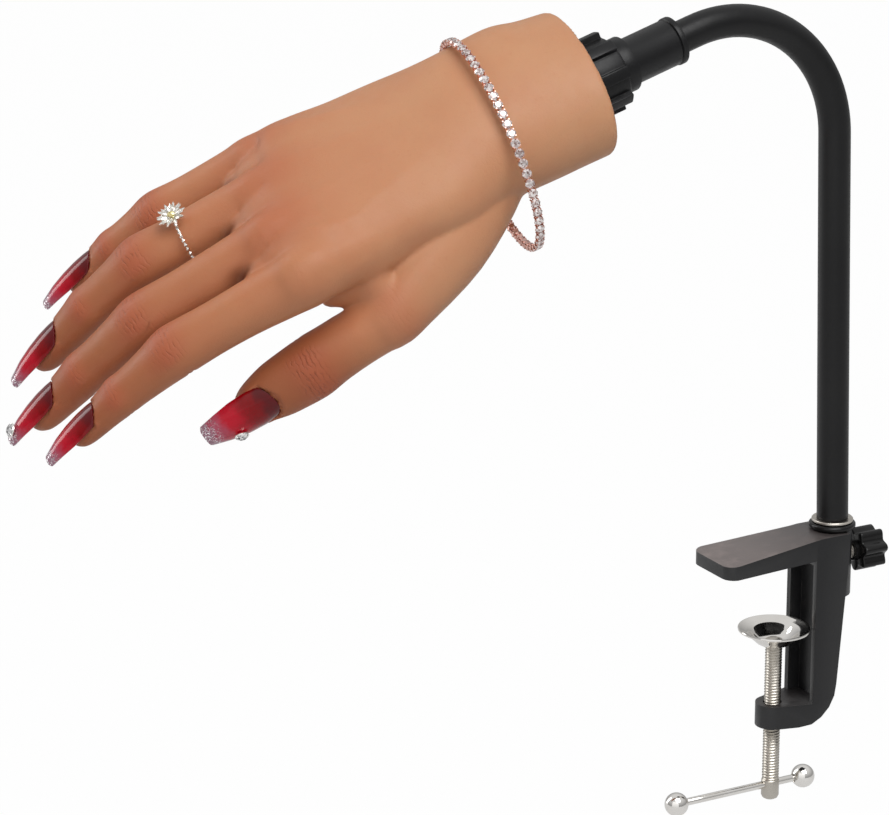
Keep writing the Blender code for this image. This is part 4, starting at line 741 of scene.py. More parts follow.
def shapeSkin(mesh):
    # Knuckles, tendons, folds and nail beds, moved into the skin along its normals
    count = len(mesh.vertices)
    points, normals = readVectors(mesh.vertices, "co"), readVectors(mesh.vertices, "normal")
    move, flush, crease, creaseAlong, foldShade = np.zeros((5, count))
    inHand = localPoints(points, handFrame) / mm
    tone = np.clip((inHand[:, 0] - 10.0) / 170.0, 0, 1)
    back = softStep(normals @ np.array(handFrame.col[2].xyz), -0.1, 0.7)

    knuckles = [digits[name]["knuckle"] / mm for name in fingerNames]
    for index, (name, spot) in enumerate(zip(fingerNames, knuckles)):
        size = digits[name]["breadth"]
        flat = np.hypot((inHand[:, 0] - spot.x) / 1.15, inHand[:, 1] - spot.y)
        bulge = np.exp(-(flat / (size * 0.42)) ** 2) * back
        move += bulge * 0.9
        flush = np.maximum(flush, np.exp(-(flat / (size * 0.72)) ** 2) * back * (0.05 if index == 0 else 0.5))
        # Tendon from the wrist to the knuckle
        reach = np.clip((inHand[:, 0] - 34.0) / (spot.x - 34.0), 0, 1)
        line = 4.0 * (1.5 - index) * (1 - reach) + spot.y * reach
        ridge = np.exp(-((inHand[:, 1] - line) / 2.6) ** 2) * softStep(inHand[:, 0], 45, 80)
        move += ridge * back * (1 - softStep(inHand[:, 0], spot.x - 14, spot.x)) * 0.38
    for first, second in zip(knuckles, knuckles[1:]):
        middle = (first + second) / 2
        flat = np.hypot((inHand[:, 0] - middle.x - 2.0) / 2.0, inHand[:, 1] - middle.y)
        move -= np.exp(-(flat / 4.2) ** 2) * back * 0.5
    # The deep ends of the webs are dented, and marked for a painted shade in the finish
    for (first, second), reach in webPits.items():
        along, across, up = (localPoints(points, placeBetween(first, second)) / mm).T
        flat = np.hypot((along - reach) / 2.2, across / 0.9)
        shadedPit = np.exp(-(flat / 2.0) ** 2) * softStep(up, -6.0, 0.0)
        foldShade = np.maximum(foldShade, shadedPit)
        move -= shadedPit * 1.1

    for name, digit in digits.items():
        size = digit["breadth"]
        count = len(digit["places"])
        for index, place in enumerate(digit["places"]):
            if index == 0 and name != "thumb":
                continue
            along, across, up = (localPoints(points, place) / mm).T
            near = np.exp(-(np.hypot(across, up) / (size * 0.75)) ** 8)
            top = softStep(up, size * 0.08, size * 0.30) * near
            under = softStep(-up, size * 0.08, size * 0.30) * near
            last = index == count - 1
            half = 3.4 if last and name != "thumb" else 5.4
            mask = np.exp(-(along / half) ** 4) * top
            # The fine wrinkles are a pattern in the finish; the folds under the joint are in the shape
            strong = (1.25 if name == "thumb" else 0.45) if last else (0.25 if index == 0 else 0.8)
            better = mask * strong > crease
            creaseAlong[better] = along[better]
            crease = np.maximum(crease, mask * strong)
            glow = np.exp(-(along / (half * 1.25)) ** 2) * top
            flush = np.maximum(flush, glow * (0.8 if index else 0.35))
            move += np.exp(-(along / (half * 0.9)) ** 2) * top * 0.28
            for offset in (-0.8, 0.9):
                move -= np.exp(-((along - offset) / 0.55) ** 2) * under * 0.35

        if name == "thumb":
            tone = np.clip(tone + near * softStep(along, -36.0, 6.0) * 0.45, 0, 1)
        # The nail's bed and the fold round it
        place = digit["nailPlace"]
        along, across, up = (localPoints(points, place) / mm).T
        start = digit["lengths"][-1] - nailForm["bed"]
        length = nailForm["bed"] + digits[name]["overhang"]
        near = (np.abs(across) < size) & (np.abs(up) < size)
        near &= (along > start - 6) & (along < digit["lengths"][-1] + 6)
        share = np.clip((along - start) / length, 0, 1)
        wide = np.interp(share, nailPlaces, nailBreadths) * tipSizes[name][0]
        side = np.clip(across / wide, -1, 1)
        turned = np.arcsin(np.clip(side * math.sin(math.radians(nailForm["halfAngle"])), -1, 1))
        spread = turned / math.radians(nailForm["halfAngle"])
        begin = nailForm["cuticle"] * spread ** 2
        height = nailSurface(name, share, spread)[2]
        outAlong = begin * length - (along - start)
        outAcross = np.abs(across) - wide
        outside = np.hypot(np.maximum(outAlong, 0), np.maximum(outAcross, 0))
        inside = np.maximum(outAlong, outAcross)
        gap = np.where(outside > 0, outside, inside)
        # Under the nail the skin is pressed just below it, beside it the skin rises to a soft fold
        pressed = near & (gap < 0.15) & (up > height - 0.25)
        drop = np.where(pressed, height - 0.25 - up, 0)
        rise = np.exp(-((gap - 0.75) / 0.65) ** 2) * near * (up > -0.5) * (gap > 0.1)
        rise *= 1 - softStep(along, digit["lengths"][-1] - 3.5, digit["lengths"][-1] - 0.5)
        lift = rise * np.clip(height + 0.6 - up, -1.5, 0.85)
        inner = np.array(place.col[2].xyz)
        points += ((drop + lift) * mm)[:, None] * inner
        flush = np.maximum(flush, rise * 0.30)
    points += (move * mm)[:, None] * normals
    mesh.vertices.foreach_set("co", points.ravel())
    for label, data in (("tone", tone), ("flush", np.clip(flush, 0, 1)), ("foldShade", foldShade), ("crease", crease),
                        ("creaseAlong", creaseAlong)):
        mesh.attributes.new(label, "FLOAT", "POINT").data.foreach_set("value", data.astype(np.float32))
    mesh.update()


def keepNormals(mesh):
    # The whole skin's normals, so that the pieces cut from it shade as one surface
    data = np.zeros(len(mesh.vertices) * 3, np.float32)
    mesh.vertices.foreach_get("normal", data)
    mesh.attributes.new("wholeNormal", "FLOAT_VECTOR", "POINT").data.foreach_set("vector", data)


def skinPiece(name, source, cutLists):
    # One closed piece from each list of planes, all in one mesh
    mesh = bpy.data.meshes.new(name)
    whole = bmesh.new()
    for cuts in cutLists:
        bm = bmesh.new()
        bm.from_mesh(source)
        flags = bm.faces.layers.int.new("capFace")
        for point, outward in cuts:
            for face in cutKeep(bm, point, outward):
                if face.is_valid:
                    face[flags] = 1
        part = bpy.data.meshes.new("part")
        bm.to_mesh(part)
        bm.free()
        whole.from_mesh(part)
        bpy.data.meshes.remove(part)
    whole.to_mesh(mesh)
    whole.free()
    mesh.shade_smooth()
    total = len(mesh.loops)
    owners = np.zeros(total, int)
    mesh.loops.foreach_get("vertex_index", owners)
    normals = readVectors(mesh.attributes["wholeNormal"].data, "vector")[owners]
    lengths = np.linalg.norm(normals, axis=1)
    normals[lengths > 0] /= lengths[lengths > 0][:, None]
    caps = np.zeros(len(mesh.polygons), int)
    mesh.attributes["capFace"].data.foreach_get("value", caps)
    faceNormals = readVectors(mesh.polygons, "normal")
    totals = np.zeros(len(mesh.polygons), int)
    mesh.polygons.foreach_get("loop_total", totals)
    capLoops = np.repeat(caps, totals) == 1
    normals[capLoops] = np.repeat(faceNormals, totals, axis=0)[capLoops]
    mesh.normals_split_custom_set(normals)
    mesh.attributes.remove(mesh.attributes["wholeNormal"])
    mesh.attributes.remove(mesh.attributes["capFace"])
    return mesh


skinCuts = {"behindKnuckles": 9.0, "thumbSide": -10.0, "behindThumb": -11.0, "proximal": 0.60, "middle": 0.52,
            "thumbProximal": 0.52}


def dressHand():
    skin = remeshSkin()
    calmSkin(skin)
    shapeSkin(skin)
    keepNormals(skin)
    print("skin form:", len(skin.polygons), "faces")

    def addSkin(title, cutLists, body, cadNode):
        mesh = skinPiece(title, skin, cutLists)
        return addPiece(title, mesh, finishes["skin"], body, [cadNode])

    # Planes: behind the knuckle row, beside the thumb, and behind the thumb's knuckle
    first, last = digits["index"]["knuckle"], digits["little"]["knuckle"]
    row = (first - last).xy.normalized()
    rowNormal = (handFrame.to_3x3() @ Vector((row.y, -row.x, 0))).normalized()
    rowPoint = handFrame @ Vector((first.x - skinCuts["behindKnuckles"] * mm, first.y, 0))
    thumbPlace = digits["thumb"]["places"][0]
    thumbSide = thumbPlace.col[1].xyz
    sidePoint = thumbPlace @ Vector((0, skinCuts["thumbSide"] * mm, 0))
    thumbWay = thumbPlace.col[0].xyz
    behindThumb = thumbPlace @ Vector((skinCuts["behindThumb"] * mm, 0, 0))

    palmCuts = [(sidePoint, thumbSide), (rowPoint, rowNormal)]
    thenarCuts = [(sidePoint, -thumbSide), (behindThumb, thumbWay)]
    addSkin("palmSkin", [palmCuts, thenarCuts], "palm", "palm_skin")

    for index, name in enumerate(fingerNames):
        places, lengths = digits[name]["places"], digits[name]["lengths"]
        cuts = [(sidePoint, thumbSide), (rowPoint, -rowNormal)]
        for other in (index - 1, index + 1):
            if 0 <= other < len(fingerNames):
                neighbour = digits[fingerNames[other]]["places"][0]
                between = (places[0].translation + neighbour.translation) / 2
                outward = places[0].col[1].xyz + neighbour.col[1].xyz
                cuts.append((between, outward if other < index else -outward))
        ways = [place.col[0].xyz for place in places]
        seams = [places[0] @ Vector((lengths[0] * skinCuts["proximal"] * mm, 0, 0)),
                 places[1] @ Vector((lengths[1] * skinCuts["middle"] * mm, 0, 0))]
        depth = (places[0].translation - rowPoint).dot(rowNormal)
        start = places[0].translation - rowNormal * depth
        stages = [
            ("Knuckle", cuts + [(seams[0], ways[0])], start, start + rowNormal * depth * 2.1),
            ("Joint", cuts + [(seams[0], -ways[0]), (seams[1], ways[1])],
             places[1].translation - ways[0] * 8.0 * mm, places[1].translation + ways[1] * 8.0 * mm),
            ("Tip", cuts + [(seams[1], -ways[1])],
             places[2].translation - ways[1] * 6.5 * mm, places[2].translation + ways[2] * 6.0 * mm)]
        for step, (label, planes, begin, end) in enumerate(stages):
            cadNode = "%s_%s_skin" % (name, digits[name]["labels"][step])
            piece = addSkin(name + label, [planes], None, cadNode)
            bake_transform(piece)

    places, lengths = digits["thumb"]["places"], digits["thumb"]["lengths"]
    cuts = [(sidePoint, -thumbSide), (behindThumb, -thumbWay)]
    seam = places[0] @ Vector((lengths[0] * skinCuts["thumbProximal"] * mm, 0, 0))
    tipWay = places[1].col[0].xyz
    stages = [
        ("thumbKnuckle", cuts + [(seam, thumbWay)], "palm", "thumb_proximal", "thumb_proximal_skin",
         behindThumb + thumbWay * 0.5 * mm, places[0].translation + thumbWay * 11.0 * mm),
        ("thumbTip", cuts + [(seam, -thumbWay)], "thumb_proximal", "thumb_distal", "thumb_distal_skin",
         places[1].translation - thumbWay * 9.0 * mm, places[1].translation + tipWay * 9.0 * mm)]
    for title, planes, bodyA, bodyB, cadNode, begin, end in stages:
        piece = addSkin(title, [planes], None, cadNode)
        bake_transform(piece)
    bpy.data.meshes.remove(skin)


dressHand()
print("skin pieces made")


# Nails

def makeNail(name):
    bm = bmesh.new()
    bmesh.ops.create_grid(bm, x_segments=26, y_segments=18, size=1.0)
    alongLayer = bm.verts.layers.float.new("nailAlong")
    for vert in bm.verts:
        across = vert.co.y
        begin = nailForm["cuticle"] * across ** 2
        place = begin + (1 - begin) * (vert.co.x + 1) / 2
        # The free end is cut straight, with its corners taken off
        place = min(place, 1.0 - 0.03 * max(0, abs(across) - 0.7) / 0.3)
        vert[alongLayer] = place
        vert.co = Vector(nailSurface(name, place, across)) * mm
    bmesh.ops.recalc_face_normals(bm, faces=bm.faces)
    if bm.faces[0].normal.z < 0:
        bmesh.ops.reverse_faces(bm, faces=bm.faces)
    bmesh.ops.solidify(bm, geom=bm.faces[:], thickness=-nailForm["thickness"] * mm)
    bmesh.ops.recalc_face_normals(bm, faces=bm.faces)
    soften(bm, 0.22, 3, 50)
    bmesh.ops.transform(bm, matrix=digits[name]["nailPlace"], verts=bm.verts)
    body = "%s_distal" % name
    return finishPiece(name + "Nail", bm, finishes["nail"], body, [name + "_nail"], 50)


for name in digits:
    makeNail(name)
print("nails made")


# Stones: one cut stone and its setting, and copies of them on given places

stoneForm = {"table": 0.56, "crown": 0.34, "pavilion": 0.5, "facets": 8}


def cutStone(bm, radius, matrix, facets=None):
    # A round stone: a flat table, a crown and a pointed pavilion, girdle at height zero
    sides = facets or stoneForm["facets"]
    up, down = radius * stoneForm["crown"], radius * stoneForm["pavilion"]
    crown = cone(bm, sides, radius, radius * stoneForm["table"], up, matrix @ shift(z=up / 2))
    pavilion = cone(bm, sides, radius * 0.3, radius, down, matrix @ shift(z=-down / 2))
    girdle = [face for face in {face for vert in crown + pavilion for face in vert.link_faces}
              if len(face.verts) == sides
              and abs((matrix.inverted() @ face.calc_center_median()).z) < radius * 0.02 * mm]
    bmesh.ops.delete(bm, geom=girdle, context="FACES_ONLY")
    fresh = [vert for vert in crown + pavilion if vert.is_valid]
    bmesh.ops.remove_doubles(bm, verts=fresh, dist=1e-6)


bracelet = {"place": (33.356, 3.1, -4.8), "turn": -29.6, "tilt": -3.8, "radii": (34.4, 26.25),
            "stones": 60, "stone": 1.60, "cup": 1.5, "cupHeight": 1.3, "wire": 0.26, "link": 0.52}


def ovalPlaces(radii, count, offset=0.0):
    # Evenly spaced places on an oval in Y and Z: +Z outwards, +X along the hand
    fine = [2 * math.pi * step / 2000 for step in range(2001)]
    line = np.array([(radii[0] * math.cos(a), radii[1] * math.sin(a)) for a in fine])
    run = np.concatenate([[0], np.cumsum(np.linalg.norm(np.diff(line, axis=0), axis=1))])
    places = []
    for step in range(count):
        angle = float(np.interp((step + offset) / count * run[-1], run, fine))
        point = Vector((0, radii[0] * math.cos(angle), radii[1] * math.sin(angle)))
        outward = Vector((0, math.cos(angle) * radii[1], math.sin(angle) * radii[0])).normalized()
        places.append(frameAt(point * mm, Vector((1, 0, 0)), outward))
    return places


def makeBracelet():
    values = bracelet
    base = handFrame @ shift(*values["place"]) @ turn("Z", values["tilt"]) @ turn("X", values["turn"])
    stones, metal = bmesh.new(), bmesh.new()
    for place in ovalPlaces(values["radii"], values["stones"]):
        spot = base @ place
        cutStone(stones, values["stone"], spot @ shift(z=0.75))
        cone(metal, 10, values["cup"] * 0.62, values["cup"], values["cupHeight"], spot @ shift(z=-0.1))
        for corner in range(4):
            post = spot @ turn("Z", 45 + 90 * corner) @ shift(values["cup"] * 0.98, 0, 0.35)
            cone(metal, 6, values["wire"], values["wire"] * 0.8, 1.7, post)
    for place in ovalPlaces(values["radii"], values["stones"], 0.5):
        cone(metal, 8, values["link"], values["link"], 1.5, base @ place @ shift(z=-0.35) @ turn("X", 90))
    finishPiece("braceletStones", stones, finishes["blush"], "bracelet", [], 12)
    finishPiece("braceletSettings", metal, finishes["rose"], "bracelet", ["bracelet"], 30)


makeBracelet()

fingerRing = {"radius": 9.915, "beads": 44, "bead": 0.62, "wire": 0.36, "headLift": 10.7, "petals": 9,
              "petal": (1.95, 0.76, 0.42), "petalPlace": 2.85, "centre": 1.25}


def makeFingerRing():
    values = fingerRing
    place = digits["ring"]["places"][0].copy()
    place.translation = jointPoint("ring_turn")
    band = bmesh.new()
    for step in range(values["beads"]):
        angle = 360.0 * step / values["beads"]
        spot = place @ turn("X", angle) @ shift(z=values["radius"])
        bmesh.ops.create_icosphere(band, subdivisions=1, radius=values["bead"] * mm,
                                   matrix=spot @ turn("Z", 20 * step))
    wire = [(values["radius"] + values["wire"] * math.cos(a) - 0.1, values["wire"] * math.sin(a))
            for a in [2 * math.pi * k / 10 for k in range(10)]]
    spun(band, wire, place @ turn("Y", 90), 64, True)
    cone(band, 12, 0.9, 1.6, 1.3, place @ shift(z=(values["radius"] + values["headLift"]) / 2 + 0.1))
    petals, heart = bmesh.new(), bmesh.new()
    length, width, height = values["petal"]
    for step in range(values["petals"] * 2):
        # Two layers, one between the petals of the other
        outer = step % 2
        spot = place @ shift(z=values["headLift"]) @ turn("Z", 180.0 * step / values["petals"])
        spot = spot @ shift(values["petalPlace"] - 0.1 + 0.25 * outer, 0, 0.95 - 0.45 * outer)
        spot = spot @ turn("Y", -22 + 14 * outer)
        size = Matrix.Diagonal((length * mm, width * mm, height * mm, 1))
        made = bmesh.ops.create_icosphere(petals, subdivisions=1, radius=1.0, matrix=spot @ size)["verts"]
        inverse = spot.inverted()
        for vert in made:  # drawn out to the two points of a marquise cut
            local = inverse @ vert.co
            local.y *= 1 - 0.55 * min(1, abs(local.x) / (length * mm))
            local.x *= 1.08
            vert.co = spot @ local
        cone(band, 8, 0.35, 0.62, 0.5, spot @ shift(0, 0, -0.35))
        for side in (-1, 1):
            claw = spot @ shift(0.25, side * width * 0.82, 0.05) @ turn("X", side * 12)
            cone(band, 6, 0.13, 0.1, 0.9, claw)
    middle = place @ shift(z=values["headLift"] + 1.25)
    cutStone(heart, values["centre"], middle, 10)
    for step in range(6):
        spot = middle @ turn("Z", 60 * step) @ shift(0.85, 0, -0.1)
        bmesh.ops.create_icosphere(heart, subdivisions=1, radius=0.3 * mm, matrix=spot)
    finishPiece("ringBeads", band, finishes["silver"], "ring", ["ring_band"], 30)
    finishPiece("ringPetals", petals, finishes["petal"], "ring", ["ring_head"], 10)
    finishPiece("ringHeart", heart, finishes["citrine"], "ring", [], 12)


makeFingerRing()

# Rhinestones on the nails: for each nail the place along it and the angle across it
rhinestones = {"radius": 2.3, "middle": (0.85, 13.0), "thumb": (0.60, 40.0)}


def makeRhinestones():
    radius, thick = rhinestones["radius"], nailForm["thickness"]
    for name in ("middle", "thumb"):
        along, angle = rhinestones[name]
        across = angle / nailForm["halfAngle"]
        seat = Vector(nailSurface(name, along, across, thick))
        ahead = Vector(nailSurface(name, along + 0.04, across, thick)) - seat
        aside = Vector(nailSurface(name, along, across * 1.04, thick)) - seat
        normal = ahead.cross(aside).normalized()
        local = Matrix.Translation(seat * mm) @ normal.to_track_quat("Z", "X").to_matrix().to_4x4()
        spot = digits[name]["nailPlace"] @ local
        stone, cup = bmesh.new(), bmesh.new()
        cutStone(stone, radius * 0.94, spot @ shift(z=1.2), 12)
        spun(cup, [(0, 0.15), (radius * 0.72, 0.15), (radius * 0.98, 0.85), (radius * 0.92, 1.2),
                   (radius * 0.80, 1.15), (radius * 0.55, 0.45), (0, 0.4)], spot, 24)
        for corner in range(8):
            claw = spot @ turn("Z", 45 * corner) @ shift(radius * 0.88, 0, 1.1) @ turn("Y", -24)
            cone(cup, 6, 0.17, 0.12, 0.7, claw)
        body, cadNode = name + "_distal", name + "_rhinestone"
        finishPiece(name + "Rhinestone", stone, finishes["crystal"], body, [cadNode], 10)
        finishPiece(name + "RhinestoneCup", cup, finishes["silver"], body, [], 40)


makeRhinestones()
print("jewellery made")


# The arm's sleeve, one piece for each place where it bends

arm = {"radius": 5.25, "straight": 131.2, "bendRadius": 42.0, "turn": 105.3, "tail": 13.4, "lean": 1.7,
       "step": 2.5, "reach": 12.0, "sides": 40, "foot": 3.8,
       "straightBends": (0.27, 0.54, 0.81), "curvedBends": (0.24, 0.72)}


def armPlace(distance):
    post = jointPoint("post_swivel")
    foot = Matrix.Translation((post.x, 0, post.z + arm["foot"] * mm)) @ turn("Y", -arm["lean"])
    past = min(max(distance - arm["straight"], 0), arm["bendRadius"] * math.radians(arm["turn"]))
    rest = max(distance - arm["straight"] - past, 0)
    angle = -math.degrees(past / arm["bendRadius"])
    bend = shift(-arm["bendRadius"]) @ turn("Y", angle) @ shift(arm["bendRadius"])
    return foot @ shift(z=min(distance, arm["straight"])) @ bend @ shift(z=rest)


def makeSleeve():
    bendLength = arm["bendRadius"] * math.radians(arm["turn"])
    total = arm["straight"] + bendLength + arm["tail"]
    bends = [share * arm["straight"] for share in arm["straightBends"]]
    bends += [arm["straight"] + share * bendLength for share in arm["curvedBends"]]
    seams = [0.0] + [(first + second) / 2 for first, second in zip(bends, bends[1:])] + [total]
    for index, bend in enumerate(bends):
        low, high = seams[index], seams[index + 1]
        steps = round((high - low) / arm["step"])
        rings = []
        for step in range(steps + 1):
            place = armPlace(low + (high - low) * step / steps)
            radius = arm["radius"] * mm
            rings.append([place @ Vector((radius * math.cos(a), radius * math.sin(a), 0)) for a in
                          [2 * math.pi * side / arm["sides"] for side in range(arm["sides"])]])
        bm = bmesh.new()
        bridgeRings(bm, rings)
        nodes = ["arm_link_%d" % (index + 1)] + (["arm_link_6"] if index == 4 else [])
        title = "armSleeve%d" % (index + 1)
        piece = finishPiece(title, bm, finishes["sleeve"], None, nodes, 40)
        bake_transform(piece)


makeSleeve()

# Connector: heights along it are counted from the wrist's cut end, away from the hand
connector = {
    "barrel": [(0, -9.4), (5.1, -9.4), (5.1, -12.7), (9.0, -12.7), (9.0, -17.2), (7.5, -17.2), (7.5, -33.9),
               (7.2, -34.1), (7.85, -34.3), (7.85, -36.1), (5.6, -36.1), (5.6, -30.0), (0, -30.0)],
    "nut": [(7.7, -1.0), (11.0, -1.0), (11.0, -11.6), (10.2, -12.4), (5.4, -12.4), (5.4, -10.0),
            (7.7, -10.0)],
    "insert": [(0, 5.0), (16.0, 5.0), (16.0, 0.0), (7.4, 0.0), (7.4, -9.1), (3.0, -9.1), (3.0, -16.1),
               (0, -16.1)],
    "ribs": 8, "ribWidth": 17.5, "ribHeight": 2.0, "firstRib": 11.25}


def makeConnector():
    values = connector
    bm = bmesh.new()
    spun(bm, values["barrel"], connectorFrame, 80)
    soften(bm, 0.35, 2)
    finishPiece("stepBarrel", bm, finishes["plastic"], "arm_6", ["barrel"])
    bm = bmesh.new()
    spun(bm, values["insert"], connectorFrame, 80)
    soften(bm, 0.4, 2)
    finishPiece("wristPlug", bm, finishes["plastic"], "palm", ["wrist_insert"])
    bm = bmesh.new()
    spun(bm, values["nut"], Matrix(), 144, True)
    outer = []
    for face in bm.faces:
        middle = face.calc_center_median() / mm
        angle = (math.degrees(math.atan2(middle.y, middle.x)) - values["firstRib"]) % (360 / values["ribs"])
        off = min(angle, 360 / values["ribs"] - angle)
        if -11.6 < middle.z < -1.0 and math.hypot(middle.x, middle.y) > 10.8 and off < values["ribWidth"] / 2:
            outer.append(face)
    made = bmesh.ops.extrude_face_region(bm, geom=outer)
    grown = [item for item in made["geom"] if isinstance(item, bmesh.types.BMVert)]
    bmesh.ops.delete(bm, geom=outer, context="FACES_ONLY")
    grow = (11.0 + values["ribHeight"]) / 11.0
    bmesh.ops.scale(bm, vec=(grow, grow, 0.97), verts=grown, space=Matrix.Translation((0, 0, 6.3 * mm)))
    bmesh.ops.recalc_face_normals(bm, faces=bm.faces)
    soften(bm, 0.32, 2, 35)
    bmesh.ops.transform(bm, matrix=connectorFrame, verts=bm.verts)
    finishPiece("ribbedNut", bm, finishes["plastic"], "collar", ["collar_nut"])


makeConnector()
print("arm made")


# Clamp

def copyNode(name):
    bm = bmesh.new()
    bm.from_mesh(frame["nodes"][name].data)
    bmesh.ops.remove_doubles(bm, verts=bm.verts, dist=2e-6)
    bmesh.ops.dissolve_limit(bm, angle_limit=math.radians(1.5), verts=bm.verts, edges=bm.edges)
    return bm


def makeClampFrame():
    bm = copyNode("clamp_frame")
    soften(bm, 0.7, 3, 30)
    finishPiece("clampBody", bm, finishes["paint"], "clamp", ["clamp_frame"], 30, False)


makeClampFrame()


def threadedRod(bm, radius, depth, pitch, low, high, place, steps=24):
    # One tooth is spun up the rod, then both ends are cut square and closed
    count = math.ceil((high - low) / pitch) + 2
    root = radius - depth
    tooth = [(root, 0.0), (radius, pitch * 0.36), (radius, pitch * 0.56), (root, pitch * 0.92),
             (root, pitch)]
    points = [bm.verts.new((r * mm, 0, (low - pitch + z) * mm)) for r, z in tooth]
    edges = [bm.edges.new(pair) for pair in zip(points, points[1:])]
    before = set(bm.verts) - set(points)
    bmesh.ops.spin(bm, geom=points + edges, cent=(0, 0, 0), axis=(0, 0, 1), dvec=(0, 0, pitch * mm / steps),
                   angle=2 * math.pi * count, steps=steps * count, use_merge=False)
    bmesh.ops.remove_doubles(bm, verts=[vert for vert in bm.verts if vert not in before], dist=2e-6)
    cutKeep(bm, (0, 0, low * mm), (0, 0, -1))
    cutKeep(bm, (0, 0, high * mm), (0, 0, 1))
    bmesh.ops.recalc_face_normals(bm, faces=bm.faces)
    bmesh.ops.transform(bm, matrix=place, verts=[vert for vert in bm.verts if vert not in before])


screw = {"radius": 2.85, "tooth": 0.34, "pitch": 1.0, "cupDrop": 24.0, "cupHeight": 6.0, "threadLength": 47.5,
         "headRadius": 3.0, "headLength": 7.5, "barRadius": 1.25, "left": -37.2, "right": 13.2, "ball": 4.0}


# The pressure dish: radius and depth under its rim, down its outside and up its inside
dishProfile = (
    (12.05, 0), (12.2, 0.3), (12.1, 0.75), (10.9, 1.3), (9.4, 1.9), (8.6, 2.6), (7.4, 3.8), (6.0, 5.1),
    (4.6, 5.9), (3.7, 6.0), (2.1, 6.0), (2.1, 5.1), (4.3, 5.05), (5.4, 4.4), (6.8, 3.1), (7.9, 1.9),
    (8.7, 1.3), (9.6, 0.95), (11.2, 0.4), (11.75, 0))


def makeScrew():
    values = screw
    top = -values["cupDrop"]
    floor = top - values["cupHeight"]
    shoulder = floor - 0.3
    threadEnd = shoulder - values["threadLength"]
    foot = threadEnd - values["headLength"]
    bm = bmesh.new()
    threadedRod(bm, values["radius"], values["tooth"], values["pitch"], threadEnd - 0.2, shoulder, Matrix())
    finishPiece("screwThread", bm, finishes["screw"], "screw", [], 30)
    bm = bmesh.new()
    rivet = floor + 0.9 + 0.3
    spun(bm, [(0, rivet + 1.2), (1.6, rivet + 1.05), (2.7, rivet + 0.6), (3.2, rivet), (1.8, rivet),
              (1.8, shoulder - 0.6), (0, shoulder - 0.6)], Matrix(), 48)
    wide = values["headRadius"]
    spun(bm, [(0, threadEnd), (2.3, threadEnd), (wide, threadEnd - 0.8), (wide, foot + 1.4), (2.6, foot + 0.5),
              (1.8, foot), (0, foot)], Matrix(), 48)
    soften(bm, 0.15, 2, 30)
    finishPiece("screwHead", bm, finishes["screw"], "screw", ["clamp_screw"])
    bm = bmesh.new()
    spun(bm, [(radius, top - drop) for radius, drop in dishProfile], Matrix(), 96, True)
    finishPiece("pressureDish", bm, finishes["chrome"], "cup", ["pressure_cup"], 50)
    barHeight = foot + values["headLength"] * 0.7
    way = shift(z=barHeight) @ turn("Y", 90)
    bm = bmesh.new()
    thick = values["barRadius"]
    spun(bm, [(0, values["left"] + 2.0), (thick, values["left"] + 2.0), (thick, values["right"] - 2.0),
              (0, values["right"] - 2.0)], way, 24)
    soften(bm, 0.12, 2)
    finishPiece("tommyBar", bm, finishes["chrome"], "bar", ["t_bar"])
    for title, cadNode, x, side in (("barBallLeft", "t_bar_ball_left", values["left"], 1),
                                    ("barBallRight", "t_bar_ball_right", values["right"], -1)):
        bm = bmesh.new()
        radius = values["ball"]
        arcPoints = [(radius * math.sin(a), -radius * math.cos(a)) for a in
                     [math.radians(value) for value in np.linspace(0, 160, 25)]]
        arcPoints += [(1.5, radius * 0.98), (1.5, radius * 0.6), (0, radius * 0.6)]
        spot = shift(x=x, z=barHeight) @ turn("Y", 90 * side)
        spun(bm, arcPoints, spot, 48)
        finishPiece(title, bm, finishes["chrome"], "bar", [cadNode], 40)


makeScrew()

lock = {"drop": -2.1, "screw": 2.4, "tooth": 0.28, "pitch": 0.8, "knob": 7.4, "lobes": 7, "lobeDepth": 1.8}


def makeLock():
    values = lock
    start = jointPoint("lock_turn").x / mm
    spot = shift(z=values["drop"]) @ turn("Y", 90)
    bm = bmesh.new()
    threadedRod(bm, values["screw"], values["tooth"], values["pitch"], start + 1.5, start + 12.1, spot)
    finishPiece("lockThread", bm, finishes["screw"], "lock", ["lock_screw"], 30)
    bm = bmesh.new()
    spun(bm, [(0, start), (1.8, start), (2.04, start + 0.3), (2.04, start + 1.2), (0, start + 1.2)], spot, 32)
    finishPiece("lockPadTip", bm, finishes["brass"], "lock_tip", ["lock_pad"])
    low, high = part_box("lock_knob")
    bm = bmesh.new()
    face = low.x / mm
    base, end = face + 1.4, high.x / mm
    sides = values["lobes"] * 16
    ring = bmesh.ops.create_circle(bm, cap_ends=True, segments=sides, radius=values["knob"] * mm)["verts"]
    for vert in ring:
        angle = math.atan2(vert.co.y, vert.co.x)
        radius = values["knob"] - values["lobeDepth"] / 2 * (1 - math.cos(values["lobes"] * angle))
        vert.co = Vector((radius * math.cos(angle), radius * math.sin(angle), base)) * mm
    made = bmesh.ops.extrude_face_region(bm, geom=bm.faces[:])
    grown = [item for item in made["geom"] if isinstance(item, bmesh.types.BMVert)]
    bmesh.ops.translate(bm, vec=(0, 0, (end - base) * mm), verts=grown)
    top = [item for item in made["geom"] if isinstance(item, bmesh.types.BMFace)]
    bmesh.ops.inset_region(bm, faces=top, thickness=1.7 * mm, depth=0)
    dish = list({vert for face in top for vert in face.verts})
    bmesh.ops.translate(bm, vec=(0, 0, -0.7 * mm), verts=dish)
    bmesh.ops.recalc_face_normals(bm, faces=bm.faces)
    soften(bm, 0.6, 3, 40)
    spun(bm, [(0, base + 0.4), (3.6, base + 0.4), (3.6, face + 0.3), (3.3, face), (0, face)], Matrix(), 48)
    bmesh.ops.transform(bm, matrix=spot, verts=bm.verts)
    finishPiece("lobedKnob", bm, finishes["gloss"], "lock", ["lock_knob"])


makeLock()


